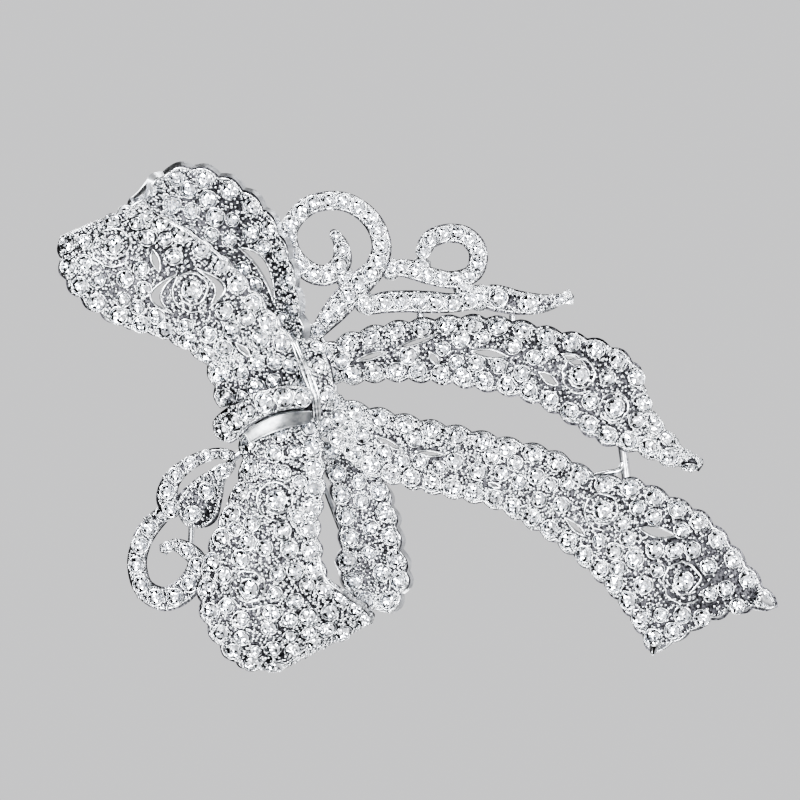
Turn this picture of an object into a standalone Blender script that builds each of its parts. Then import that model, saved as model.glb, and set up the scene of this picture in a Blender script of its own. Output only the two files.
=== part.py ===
"""Rhinestone bow brooch, as worn: +Z up, +X to the viewer's right, front facing -Y, back and pin at +Y.

The origin is the centre of the knot, on the plane of the back. Lengths are millimetres until a mesh is
made. Points on the face are (x, z), and "out" is how far a surface stands forward of the back plane.
"""

import math

import bmesh
import bpy
from mathutils import Matrix, Vector
from mathutils.geometry import delaunay_2d_cdt

MM = 0.001

# Castings
RIBBON_THICK = 1.2
BAND_THICK = 1.5
LOBE_DEPTH = 0.55
LOBE_STEPS = 4
GRID_STEP = 3.0

# Stones: crown and girdle of a round chaton, in parts of its radius
STONE_SIDES = 10
STONE_GAP = 0.3
KNOT_STONE_R = 1.15
ROSETTE_STONE_R = 1.1
SCROLL_STONE_R = 0.95

# Pin mechanism, along the pin from the rivet to the catch
RIVET_POINT = (7.6, 1.6)
PIN_TILT_DEG = 159.3
PIN_BEHIND = 5.6
PIN_R = 0.45
PIN_LENGTH = 38.0
PIN_POINT_LENGTH = 6.0
EYE_R = 1.5
EYE_WIDTH = 1.6
RIVET_R = 0.6
RUNNING_GAP = 0.06
SIDE_GAP = 0.2
EAR_THICK = 0.8
EAR_R = 1.7
BASE_THICK = 1.0
BASE_BACK = 1.8
CATCH_AT = 35.0
CATCH_LENGTH = 4.0
CATCH_OUTER_R = 2.5
CATCH_INNER_R = 1.65
CATCH_SEAT = 0.4
ROLLER_OUTER_R = 1.5
ROLLER_INNER_R = 0.75
ROLLER_PAST_HOUSING = 1.2
SLOT_HALF_DEG = 42.0
TAB_LENGTH = 3.0
TAB_WIDTH = 0.9
TAB_INSET = 0.3
PIN_NECK_R = 0.18
PIN_TIP_R = 0.06
RIVET_HEAD = 0.5
SEAT_BEYOND = 4.0
SEAT_AHEAD = 3.2
SEAT_LIP = 0.8
EAR_ROOT = 0.4
PAD_HALF = 2.2
PAD_LIP = 0.8
FOOT_HALF = 0.9
FOOT_INSET = 0.4

# The oval plate behind the knot and the oval core in front of it: middle (x, z), half lengths, and
# how far the front and the back stand out
PLATE = ((2.6, -1.0), (9.5, 6.5), 0.5, -0.5)
CORE = ((2.0, 0.0), (4.0, 3.8), 4.6, 0.8)

# Each ribbon runs from the knot outwards. A station is its left edge then its right edge, seen with the
# knot behind you: (x, z, out) for each.
UPPER_LOOP_FRONT = [
    ((-0.4, 8.2, 6.2), (1.4, -3.9, 6.6)),
    ((4.0, 9.3, 8.0), (7.4, -1.9, 8.2)),
    ((6.4, 10.7, 9.2), (11.0, 0.3, 9.2)),
    ((9.2, 15.5, 10.5), (15.5, 3.8, 10.0)),
    ((11.0, 21.6, 11.4), (19.6, 7.5, 10.5)),
    ((14.0, 26.2, 11.4), (22.9, 11.9, 10.0)),
    ((17.7, 28.9, 10.5), (25.1, 15.8, 8.6)),
    ((22.6, 29.5, 8.6), (27.0, 18.9, 6.6)),
]
UPPER_LOOP_BACK = [
    ((7.3, -0.1, 3.4), (8.4, -2.7, 3.6)),
    ((8.9, 2.1, 3.0), (14.4, -1.9, 4.0)),
    ((12.3, 4.5, 2.2), (20.5, -0.7, 4.4)),
    ((16.4, 7.5, 1.7), (26.3, 2.3, 4.4)),
    ((20.5, 11.4, 1.7), (30.3, 7.0, 4.0)),
    ((23.7, 15.5, 2.2), (32.1, 12.7, 3.7)),
    ((24.8, 19.6, 3.6), (30.5, 16.8, 3.6)),
    ((25.1, 23.4, 5.4), (28.2, 18.2, 3.6)),
]
LOWER_LOOP_FRONT = [
    ((-4.0, 5.3, 7.6), (-1.5, -4.6, 7.4)),
    ((-8.9, 5.1, 9.5), (-6.2, -5.4, 8.5)),
    ((-13.6, 7.0, 11.0), (-11.6, -5.6, 9.6)),
    ((-18.2, 8.9, 12.0), (-15.8, -5.0, 10.6)),
    ((-22.6, 10.4, 12.0), (-19.9, -5.4, 11.0)),
    ((-27.0, 10.3, 11.5), (-23.3, -6.4, 11.0)),
    ((-31.5, 8.4, 10.0), (-25.3, -9.2, 9.6)),
    ((-34.9, 5.2, 8.0), (-27.3, -11.6, 7.2)),
    ((-36.0, -0.1, 5.6), (-29.3, -12.3, 4.8)),
]
LOWER_LOOP_BACK = [
    ((-4.8, -5.3, 3.2), (-5.2, -10.8, 2.6)),
    ((-8.9, -6.3, 2.5), (-10.5, -13.7, 2.4)),
    ((-13.7, -7.3, 2.0), (-15.1, -15.2, 3.2)),
    ((-18.5, -8.1, 2.0), (-19.6, -16.0, 3.4)),
    ((-21.9, -7.8, 2.0), (-23.3, -17.0, 3.4)),
    ((-25.6, -9.5, 2.5), (-26.2, -15.8, 3.2)),
    ((-27.5, -11.4, 3.0), (-28.1, -14.4, 3.0)),
]
UPPER_TAIL = [
    ((3.4, -5.3, 5.2), (7.0, -4.2, 5.4)),
    ((3.2, -9.2, 4.4), (9.2, -8.5, 4.6)),
    ((3.6, -14.2, 3.8), (10.7, -13.8, 4.1)),
    ((3.4, -20.1, 3.4), (11.5, -19.5, 3.7)),
    ((2.6, -25.6, 3.2), (11.9, -25.6, 3.4)),
    ((1.6, -30.8, 3.3), (11.4, -31.1, 3.3)),
    ((0.1, -35.2, 3.6), (10.1, -36.8, 3.3)),
    ((-2.5, -39.6, 3.8), (8.4, -43.4, 3.4)),
    ((-4.9, -43.4, 3.6), (5.3, -48.1, 3.4)),
    ((-6.3, -48.4, 3.2), (-0.4, -50.0, 3.2)),
    ((-8.1, -52.7, 2.8), (-5.1, -53.7, 2.8)),
    ((-8.6, -56.8, 2.4), (-7.9, -57.3, 2.4)),
]
LOWER_TAIL = [
    ((-2.7, -4.6, 5.6), (2.3, -5.5, 6.0)),
    ((-6.4, -8.5, 4.9), (0.4, -9.2, 5.2)),
    ((-9.3, -12.2, 4.4), (-0.7, -13.0, 4.4)),
    ((-11.0, -17.7, 4.0), (-2.1, -18.8, 4.0)),
    ((-12.3, -23.2, 3.4), (-3.4, -24.9, 3.8)),
    ((-13.6, -28.6, 3.0), (-4.8, -30.8, 3.8)),
    ((-16.4, -33.8, 3.0), (-6.4, -36.8, 3.8)),
    ((-19.6, -38.6, 3.4), (-9.5, -42.7, 3.6)),
    ((-23.7, -43.2, 3.8), (-10.3, -47.8, 3.4)),
    ((-27.4, -46.4, 4.0), (-12.5, -52.7, 3.2)),
    ((-31.4, -49.0, 3.8), (-16.4, -58.8, 3.2)),
    ((-33.6, -50.3, 3.4), (-27.4, -67.4, 3.0)),
]
# The gathered folds beside the knot, over the roots of both tails
KNOT_SIDE = [
    ((9.0, -1.9, 6.8), (8.9, -4.9, 6.2)),
    ((5.6, -3.1, 8.6), (5.9, -6.6, 8.0)),
    ((2.2, -4.4, 9.0), (2.0, -7.3, 8.4)),
    ((-1.8, -4.7, 8.7), (-1.6, -7.0, 8.1)),
]
# The knot's rim: its lower edge is set back, so its plain side shows under the band
KNOT_COLLAR = [
    ((-5.0, 3.9, 9.4), (-3.6, 4.9, 9.8)),
    ((-4.2, 2.4, 10.0), (-2.6, 3.1, 10.7)),
    ((-3.4, 0.4, 10.4), (-1.5, 0.8, 11.3)),
    ((-2.8, -1.6, 10.2), (-1.0, -1.5, 11.2)),
    ((-2.3, -4.0, 9.3), (-0.8, -4.2, 9.9)),
]

# A scroll is a centre line: (x, z, out, width)
KNOT_BAND = [
    (-4.1, 8.3, 8.6, 3.4),
    (-2.9, 6.9, 10.4, 4.2),
    (-1.1, 4.7, 12.1, 3.8),
    (0.3, 2.1, 12.9, 3.6),
    (1.0, -1.0, 12.6, 3.4),
    (1.0, -4.2, 11.0, 3.0),
]
LARGE_SCROLL = [
    (7.9, -2.9, 1.7, 1.6),
    (10.3, -5.0, 2.0, 2.3),
    (13.0, -7.3, 2.6, 3.4),
    (16.0, -10.0, 3.0, 3.6),
    (18.6, -12.6, 3.4, 3.0),
    (21.8, -13.5, 3.6, 2.7),
    (25.3, -12.0, 3.6, 2.6),
    (27.6, -8.4, 3.6, 2.6),
    (27.2, -3.9, 3.2, 2.6),
    (24.2, -1.0, 2.4, 2.5),
    (20.8, -1.3, 2.2, 2.5),
    (18.2, -3.6, 2.3, 2.8),
    (17.7, -6.2, 2.7, 2.9),
    (19.3, -8.0, 3.2, 2.8),
    (21.7, -8.0, 3.2, 2.1),
    (23.8, -6.7, 3.0, 1.0),
]
LOWER_BAR = [
    (13.0, -10.6, 2.6, 2.0),
    (13.9, -13.4, 2.8, 2.9),
    (14.1, -16.6, 3.0, 3.0),
    (14.0, -20.0, 3.0, 3.0),
    (13.9, -23.4, 3.0, 2.6),
    (14.4, -26.6, 3.0, 2.4),
]
SMALL_SCROLL = [
    (18.8, -15.2, 2.8, 2.2),
    (18.4, -17.6, 3.0, 2.6),
    (17.5, -20.2, 3.2, 2.4),
    (17.0, -23.2, 3.4, 2.4),
    (18.0, -26.0, 3.4, 2.5),
    (20.8, -26.6, 3.4, 2.6),
    (22.9, -25.0, 3.4, 2.6),
    (23.3, -22.3, 3.4, 2.6),
    (22.3, -19.9, 3.2, 2.5),
    (20.0, -18.9, 3.0, 1.9),
]
FLAME_LEAF = [
    (14.9, -27.3, 3.0, 3.1),
    (14.5, -29.2, 3.2, 3.7),
    (13.9, -32.2, 3.2, 3.3),
    (13.8, -35.2, 3.2, 2.6),
    (14.3, -37.6, 3.2, 1.6),
    (14.9, -39.6, 3.0, 0.6),
]
SIDE_CRESCENT = [
    (-7.1, 6.4, 4.0, 1.6),
    (-6.5, 8.6, 4.0, 1.5),
    (-7.3, 11.4, 4.0, 1.8),
    (-8.8, 13.7, 4.0, 2.1),
    (-10.7, 15.2, 4.0, 2.6),
    (-13.0, 15.5, 4.0, 3.0),
    (-15.2, 14.4, 4.0, 1.8),
]
SIDE_BULB = [
    (-7.8, 6.4, 3.9, 1.6),
    (-9.5, 8.6, 3.9, 2.6),
    (-11.4, 10.0, 3.9, 4.6),
    (-14.1, 11.6, 3.9, 6.2),
    (-16.2, 13.0, 3.9, 3.2),
]
SIDE_SPIRAL = [
    (-13.9, 15.3, 1.6, 2.0),
    (-16.7, 18.1, 2.6, 2.8),
    (-19.2, 19.3, 3.2, 2.7),
    (-21.9, 19.7, 3.2, 2.7),
    (-24.8, 18.8, 3.2, 2.8),
    (-26.3, 16.3, 3.2, 3.3),
    (-25.5, 13.8, 3.2, 3.4),
    (-23.3, 11.9, 3.2, 3.2),
    (-21.0, 11.6, 3.2, 2.6),
    (-19.5, 13.2, 3.2, 2.2),
    (-19.0, 14.9, 3.0, 1.6),
    (-19.9, 16.6, 2.8, 0.8),
]

# Straight solder posts and bars: both ends (x, z, out) and radius
POSTS = {
    "tail_strut": ((-3.9, -46.2, 1.2), (-12.4, -47.2, 1.2), 0.75),
    "leaf_stub": ((14.6, -31.4, 1.2), (9.4, -31.4, 1.2), 0.6),
    "bar_stub": ((13.8, -18.8, 1.0), (9.4, -18.8, 1.0), 0.6),
    "ring_stub": ((17.4, -8.2, 0.9), (20.2, -8.6, 0.9), 0.5),
    "crescent_root": ((-7.4, 6.8, 1.5), (-3.6, 2.6, 1.5), 0.6),
    "spiral_bridge": ((-15.6, 12.4, 1.2), (-19.8, 12.6, 1.2), 0.5),
    "bulb_prong": ((-13.6, 7.2, 2.6), (-13.9, 5.6, 9.0), 0.5),
    "spiral_prong": ((-22.2, 9.0, 2.0), (-22.4, 8.6, 10.2), 0.5),
}

# Slits: two ends (x, z) and the width between them
SLITS = {
    "upper_loop_front": [
        ((20.7, 16.9), (17.4, 15.9), 0.8),
        ((8.4, 5.9), (6.4, 3.9), 1.1),
        ((17.6, 13.9), (13.2, 14.3), 1.0),
        ((17.2, 9.4), (13.0, 9.0), 1.0),
    ],
    "upper_loop_back": [((21.0, 5.4), (15.8, 1.2), 1.2)],
    "upper_tail": [
        ((6.0, -10.2), (7.1, -14.2), 0.9),
        ((7.7, -15.5), (9.6, -21.0), 0.7),
        ((7.3, -19.9), (5.4, -21.4), 0.9),
        ((7.3, -25.4), (6.6, -30.8), 0.9),
        ((6.9, -37.9), (5.4, -41.0), 0.9),
        ((4.6, -34.6), (2.6, -37.2), 0.9),
    ],
    "lower_tail": [
        ((-4.1, -12.8), (-6.0, -16.4), 1.1),
        ((-6.3, -18.2), (-6.8, -22.2), 0.9),
        ((-10.6, -27.8), (-11.2, -29.6), 0.8),
        ((-15.2, -38.4), (-17.8, -41.2), 1.0),
        ((-16.8, -48.2), (-17.6, -53.6), 1.0),
        ((-19.4, -53.6), (-19.8, -55.4), 0.8),
    ],
}

# Stones that are pieces of their own: the casting they sit on and their places on the face
KNOT_STONES = [(-3.1, 7.8), (-1.7, 6.2), (-0.8, 4.2), (0.0, 2.0), (0.6, -0.6), (0.8, -3.0)]
ROSETTES = {
    "upper_loop_tip": ("upper_loop_front", (21.0, 22.1)),
    "upper_loop_middle": ("upper_loop_front", (15.3, 11.6)),
    "lower_loop_upper": ("lower_loop_front", (-12.6, 0.4)),
    "lower_loop_lower": ("lower_loop_front", (-24.1, 3.8)),
    "upper_tail_upper": ("upper_tail", (4.1, -40.3)),
    "upper_tail_lower": ("upper_tail", (-0.4, -45.1)),
    "lower_tail_upper": ("lower_tail", (-14.2, -43.3)),
    "lower_tail_lower": ("lower_tail", (-23.8, -54.4)),
}
SCROLL_STONES = {
    "scroll_stone_stem": ("large_scroll", (14.9, -8.9)),
    "scroll_stone_side": ("large_scroll", (21.8, -13.5)),
    "scroll_stone_top": ("large_scroll", (27.6, -8.0)),
    "leaf_stone_upper": ("flame_leaf", (14.5, -29.0)),
    "leaf_stone_lower": ("flame_leaf", (13.9, -32.4)),
    "bulb_stone": ("side_crescent", (-12.9, 9.2)),
}


def material(name, colour, roughness, metallic):
    made = bpy.data.materials.new(name)
    made.use_nodes = True
    shader = made.node_tree.nodes["Principled BSDF"]
    shader.inputs["Base Color"].default_value = (*colour, 1.0)
    shader.inputs["Roughness"].default_value = roughness
    shader.inputs["Metallic"].default_value = metallic
    return made


def smooth(points, at):
    """The Catmull-Rom curve through the points, at 0 to 1 along their list."""
    place = min(max(at, 0.0), 1.0) * (len(points) - 1)
    first = min(int(place), len(points) - 2)
    f = place - first
    before = points[max(first - 1, 0)]
    after = points[min(first + 2, len(points) - 1)]
    mixed = []
    for a, b, c, d in zip(before, points[first], points[first + 1], after):
        mixed.append(
            b + 0.5 * f * (c - a + f * (2 * a - 5 * b + 4 * c - d + f * (3 * (b - c) + d - a)))
        )
    return Vector(mixed)


def scroll_edges(line, steps):
    """Both edges of a scroll, from its centre line and widths."""
    stations = []
    for i in range(steps + 1):
        x, z, out, width = smooth(line, i / steps)
        before = smooth(line, (i - 0.5) / steps)
        after = smooth(line, (i + 0.5) / steps)
        along = Vector((after[0] - before[0], after[1] - before[1])).normalized()
        side = Vector((-along[1], along[0])) * width / 2
        stations.append(((x + side[0], z + side[1], out), (x - side[0], z - side[1], out)))
    return stations


class Strip:
    """A casting's front surface: s runs 0 to 1 along it, t runs 0 to 1 from its left edge to its right."""

    def __init__(self, stations, crown, thick):
        self.left = [Vector(station[0]) for station in stations]
        self.right = [Vector(station[1]) for station in stations]
        self.crown = crown
        self.thick = thick
        middles = [(a + b) / 2 for a, b in stations_as_vectors(stations)]
        self.length = sum((b - a).length for a, b in zip(middles, middles[1:]))
        self.width = sum((a - b).length for a, b in zip(self.left, self.right)) / len(stations)

    def point(self, s, t):
        """World millimetres: x, y, z."""
        a, b = smooth(self.left, s), smooth(self.right, s)
        x, z, out = a + (b - a) * t
        out += self.crown * (1 - (2 * t - 1) ** 2)
        return Vector((x, -out, z))

    def normal(self, s, t):
        """Outwards from the front surface."""
        step = 0.01
        along = self.point(min(s + step, 1), t) - self.point(max(s - step, 0), t)
        across = self.point(s, t + step) - self.point(s, t - step)
        return along.cross(across).normalized() * self.facing()

    def facing(self):
        along = self.point(0.51, 0.5) - self.point(0.49, 0.5)
        across = self.point(0.5, 0.51) - self.point(0.5, 0.49)
        return -1 if along.cross(across).y > 0 else 1

    def locate(self, x, z):
        """The (s, t) nearest to a place on the face."""
        best, at = 1e9, (0.5, 0.5)
        for i in range(81):
            for j in range(21):
                p = self.point(i / 80, j / 20)
                far = (p.x - x) ** 2 + (p.z - z) ** 2
                if far < best:
                    best, at = far, (i / 80, j / 20)
        return at


def stations_as_vectors(stations):
    return [(Vector(a), Vector(b)) for a, b in stations]


def outline(strip, lobes, notch):
    """The strip's edge in flat (along, across) millimetres, with its rounded lobes and its notched end."""
    count = max(lobes, 1) * LOBE_STEPS if lobes else max(int(strip.length / GRID_STEP), 4)
    depth = LOBE_DEPTH if lobes else 0.0
    half = strip.width / 2
    edge = []
    for side in (-1, 1):
        run = []
        for i in range(count + 1):
            s = i / count
            lobe = depth * abs(math.sin(math.pi * lobes * s))
            run.append((s * strip.length, side * (half + lobe)))
        edge.append(run)
    end_steps = max(int(strip.width / GRID_STEP), 3)
    end = []
    for i in range(1, end_steps):
        across = -half + strip.width * i / end_steps
        inwards = notch * math.sin(math.pi * i / end_steps)
        end.append((strip.length - inwards, across))
    start = [(0.0, half - strip.width * i / end_steps) for i in range(1, end_steps)]
    return edge[0] + end + edge[1][::-1] + start


def lens(strip, slit):
    """A slit's outline in flat millimetres: two arcs between its ends."""
    (x0, z0), (x1, z1), wide = slit
    ends = []
    for x, z in ((x0, z0), (x1, z1)):
        s, t = strip.locate(x, z)
        ends.append(Vector((s * strip.length, (t - 0.5) * strip.width)))
    along = ends[1] - ends[0]
    side = Vector((-along.y, along.x)).normalized() * wide / 2
    steps = 6
    over = [ends[0] + along * i / steps + side * math.sin(math.pi * i / steps) for i in range(steps)]
    back = [ends[1] - along * i / steps - side * math.sin(math.pi * i / steps) for i in range(steps)]
    return [(p.x, p.y) for p in over + back]


def inside(point, loop):
    x, y = point
    found = False
    for (x0, y0), (x1, y1) in zip(loop, loop[1:] + loop[:1]):
        if (y0 > y) != (y1 > y) and x < (x1 - x0) * (y - y0) / (y1 - y0) + x0:
            found = not found
    return found


def arc(radius, start, end, steps):
    turns = [start + (end - start) * i / steps for i in range(steps + 1)]
    return [(radius * math.cos(a), radius * math.sin(a)) for a in turns]


def flat_faces(border, holes, extra):
    """Triangles that fill an outline, leaving its holes: their points and faces."""
    flat = [Vector(p) for p in border]
    edges = [(i, (i + 1) % len(border)) for i in range(len(border))]
    for hole in holes:
        first = len(flat)
        flat += [Vector(p) for p in hole]
        edges += [(first + i, first + (i + 1) % len(hole)) for i in range(len(hole))]
    found = delaunay_2d_cdt(flat + extra, edges, [], 0, 1e-6)
    points, kept = found[0], []
    for face in found[2]:
        middle = sum((points[i] for i in face), Vector((0, 0))) / len(face)
        if inside(middle, border) and not any(inside(middle, hole) for hole in holes):
            kept.append(list(face))
    return points, kept


def closed_shell(front_points, back_points, faces):
    """Both sides of a plate and the walls round its outline and holes."""
    mesh = bmesh.new()
    front = [mesh.verts.new(p) for p in front_points]
    back = [mesh.verts.new(p) for p in back_points]
    rim = set()
    for face in faces:
        mesh.faces.new([front[i] for i in face])
        mesh.faces.new([back[i] for i in reversed(face)])
        rim |= set(zip(face, face[1:] + face[:1]))
    for a, b in sorted(rim):
        if (b, a) not in rim:
            mesh.faces.new([front[b], front[a], back[a], back[b]])
    loose = [v for v in mesh.verts if not v.link_faces]
    bmesh.ops.delete(mesh, geom=loose, context="VERTS")
    bmesh.ops.triangulate(mesh, faces=mesh.faces)
    bmesh.ops.recalc_face_normals(mesh, faces=mesh.faces)
    if mesh.calc_volume(signed=True) < 0:
        bmesh.ops.reverse_faces(mesh, faces=mesh.faces)
    return mesh


def prism(border, holes, low, high):
    """A flat outline in local X and Y, with its holes, from one height along Z to another."""
    points, faces = flat_faces(border, holes, [])
    lower = [(p.x, p.y, low) for p in points]
    upper = [(p.x, p.y, high) for p in points]
    return closed_shell(upper, lower, faces)


def sheet(strip, border, holes):
    """A closed shell: the flat outline with its holes, laid on the strip's surface and given its thickness."""
    fixed = [Vector(p) for loop in [border, *holes] for p in loop]
    rows = max(int(strip.width / GRID_STEP), 1)
    columns = max(int(strip.length / GRID_STEP), 2)
    extra = []
    for i in range(1, columns):
        for j in range(1, rows + 1):
            p = Vector((strip.length * i / columns, strip.width * (j / (rows + 1) - 0.5)))
            clear = min((p - q).length for q in fixed) > 0.35 * GRID_STEP
            if clear and inside(p, border) and not any(inside(p, hole) for hole in holes):
                extra.append(p)
    points, faces = flat_faces(border, holes, extra)
    front, back = [], []
    for p in points:
        s, t = p.x / strip.length, p.y / strip.width + 0.5
        place, normal = strip.point(s, t), strip.normal(s, t)
        front.append(place * MM)
        back.append((place - normal * strip.thick) * MM)
    return closed_shell(front, back, faces)


def add(name, mesh, look, parent=None):
    """The bmesh as an object, smooth apart from its sharp edges."""
    data = bpy.data.meshes.new(name)
    mesh.to_mesh(data)
    mesh.free()
    data.materials.append(look)
    data.shade_smooth()
    data.set_sharp_from_angle(angle=math.radians(35))
    made = bpy.data.objects.new(name, data)
    bpy.context.scene.collection.objects.link(made)
    made.parent = parent
    return made


def boolean(target, tool, operation, solver="EXACT"):
    tool.hide_render = True
    tool.display_type = "WIRE"
    cut = target.modifiers.new(tool.name, "BOOLEAN")
    cut.operation = operation
    cut.object = tool
    cut.solver = solver


def ribbon(name, stations, crown, lobes, notch, look):
    strip = Strip(stations, crown, RIBBON_THICK)
    holes = [lens(strip, slit) for slit in SLITS.get(name, [])]
    add(name, sheet(strip, outline(strip, lobes, notch), holes), look)
    return strip


def scroll(name, line, crown, look):
    steps = 3 * (len(line) - 1)
    strip = Strip(scroll_edges(line, steps), crown, BAND_THICK)
    count = len(line) * 3
    half = strip.width / 2
    sides = [[(strip.length * i / count, k * half) for i in range(count + 1)] for k in (-1, 1)]
    made = add(name, sheet(strip, sides[0] + sides[1][::-1], []), look)
    return strip, made


def post(name, look):
    """A round bar between two places."""
    (x0, z0, out0), (x1, z1, out1), radius = POSTS[name]
    a, b = Vector((x0, -out0, z0)), Vector((x1, -out1, z1))
    mesh = bmesh.new()
    bmesh.ops.create_cone(
        mesh, cap_ends=True, segments=10, radius1=radius, radius2=radius, depth=(b - a).length
    )
    turn = (b - a).to_track_quat("Z", "Y").to_matrix().to_4x4()
    mesh.transform(Matrix.Translation((a + b) / 2) @ turn)
    mesh.transform(Matrix.Scale(MM, 4))
    add(name, mesh, look)


def stone(name, strip, place, radius, look):
    """A round chaton standing on a casting: table, crown, girdle and a short foot."""
    s, t = strip.locate(*place)
    up = strip.normal(s, t)
    seat = strip.point(s, t) + up * STONE_GAP
    levels = [(0.62, 0.0), (1.0, 0.22), (1.0, 0.36), (0.58, 0.72)]
    mesh = bmesh.new()
    rings = []
    for wide, high in levels:
        ring = []
        for i in range(STONE_SIDES):
            turn = 2 * math.pi * i / STONE_SIDES
            ring.append(
                mesh.verts.new(
                    (wide * radius * math.cos(turn), wide * radius * math.sin(turn), high * radius)
                )
            )
        rings.append(ring)
    mesh.faces.new(rings[0][::-1])
    mesh.faces.new(rings[-1])
    for lower, upper in zip(rings, rings[1:]):
        for i in range(STONE_SIDES):
            j = (i + 1) % STONE_SIDES
            mesh.faces.new([lower[i], lower[j], upper[j], upper[i]])
    mesh.transform(Matrix.Scale(MM, 4))
    made = add(name, mesh, look)
    made.location = seat * MM
    made.rotation_mode = "QUATERNION"
    made.rotation_quaternion = up.to_track_quat("Z", "Y")


def box(mesh, low, high):
    made = bmesh.ops.create_cube(mesh, size=1.0)
    middle = [(a + b) / 2 for a, b in zip(low, high)]
    for vert in made["verts"]:
        vert.co = Vector([m + c * (b - a) for m, c, a, b in zip(middle, vert.co, low, high)])


def arc_shell(inner, outer, start, end, x0, x1, steps):
    """Part of a tube about the local X axis, from one angle to another. Zero is +Y, turning towards +Z."""
    mesh = bmesh.new()
    full = abs(end - start) >= 2 * math.pi - 1e-6
    count = steps if full else steps + 1
    rows = []
    for i in range(count):
        turn = start + (end - start) * i / steps
        c, s = math.cos(turn), math.sin(turn)
        corners = ((x0, inner), (x1, inner), (x1, outer), (x0, outer))
        rows.append([mesh.verts.new((x, r * c, r * s)) for x, r in corners])
    pairs = list(zip(rows, rows[1:])) + ([(rows[-1], rows[0])] if full else [])
    for a, b in pairs:
        for i in range(4):
            j = (i + 1) % 4
            mesh.faces.new([a[i], a[j], b[j], b[i]])
    if not full:
        mesh.faces.new(rows[0][::-1])
        mesh.faces.new(rows[-1])
    bmesh.ops.recalc_face_normals(mesh, faces=mesh.faces)
    if mesh.calc_volume(signed=True) < 0:
        bmesh.ops.reverse_faces(mesh, faces=mesh.faces)
    return mesh


def turned_to_z(mesh):
    """The tube about X, turned so that it lies about Z."""
    mesh.transform(Matrix.Rotation(math.radians(-90), 4, "Y"))
    return mesh


def in_metres(mesh):
    mesh.transform(Matrix.Scale(MM, 4))
    return mesh


def hinge(pivot, plated, steel):
    """Soldered bracket with two ears, its rivet, and the pin with its eye. Local X runs along the pin."""
    ear_in = EYE_WIDTH / 2 + SIDE_GAP
    ear_out = ear_in + EAR_THICK
    base_front, base_rear = -PIN_BEHIND + BASE_BACK - BASE_THICK, -PIN_BEHIND + BASE_BACK
    mesh = bmesh.new()
    lip = ear_out + SEAT_LIP
    box(mesh, (-SEAT_BEYOND, base_front, -lip), (SEAT_AHEAD, base_rear, lip))
    bracket = add("hinge_bracket", in_metres(mesh), plated, pivot)
    foot = base_rear - EAR_ROOT
    ear = [(EAR_R, foot)] + arc(EAR_R, 0, math.pi, 12) + [(-EAR_R, foot)]
    hole = arc(RIVET_R + RUNNING_GAP, 0, 2 * math.pi, 20)[:-1]
    for side, name in ((-1, "ear_low"), (1, "ear_high")):
        low, high = sorted((side * ear_in, side * ear_out))
        boolean(bracket, add(name, in_metres(prism(ear, [hole], low, high)), plated, pivot), "UNION")

    rivet = turned_to_z(solid_rod(RIVET_R, -ear_out - RIVET_HEAD, ear_out + RIVET_HEAD, 20))
    add("hinge_rivet", in_metres(rivet), steel, pivot)

    eye = turned_to_z(
        arc_shell(RIVET_R + RUNNING_GAP, EYE_R, 0, 2 * math.pi, -EYE_WIDTH / 2, EYE_WIDTH / 2, 20)
    )
    pin = add("pin_stem", in_metres(eye), steel, pivot)
    straight = PIN_LENGTH - PIN_POINT_LENGTH
    eye_end = EYE_R - PIN_R
    profile = [(eye_end, PIN_R), (straight, PIN_R), (PIN_LENGTH - 1, PIN_NECK_R), (PIN_LENGTH, PIN_TIP_R)]
    rod = bmesh.new()
    rings = []
    for x, r in profile:
        turns = [2 * math.pi * i / 12 for i in range(12)]
        rings.append([rod.verts.new((x, r * math.cos(a), r * math.sin(a))) for a in turns])
    for a, b in zip(rings, rings[1:]):
        for i in range(12):
            rod.faces.new([a[i], a[(i + 1) % 12], b[(i + 1) % 12], b[i]])
    rod.faces.new(rings[0])
    rod.faces.new(rings[-1])
    bmesh.ops.recalc_face_normals(rod, faces=rod.faces)
    boolean(pin, add("pin_rod", in_metres(rod), steel, pivot), "UNION")


def solid_rod(radius, x0, x1, sides):
    """A round rod about the local X axis."""
    mesh = bmesh.new()
    bmesh.ops.create_cone(
        mesh, cap_ends=True, segments=sides, radius1=radius, radius2=radius, depth=x1 - x0
    )
    mesh.transform(Matrix.Rotation(math.radians(90), 4, "Y"))
    mesh.transform(Matrix.Translation(((x0 + x1) / 2, 0, 0)))
    return mesh


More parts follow.
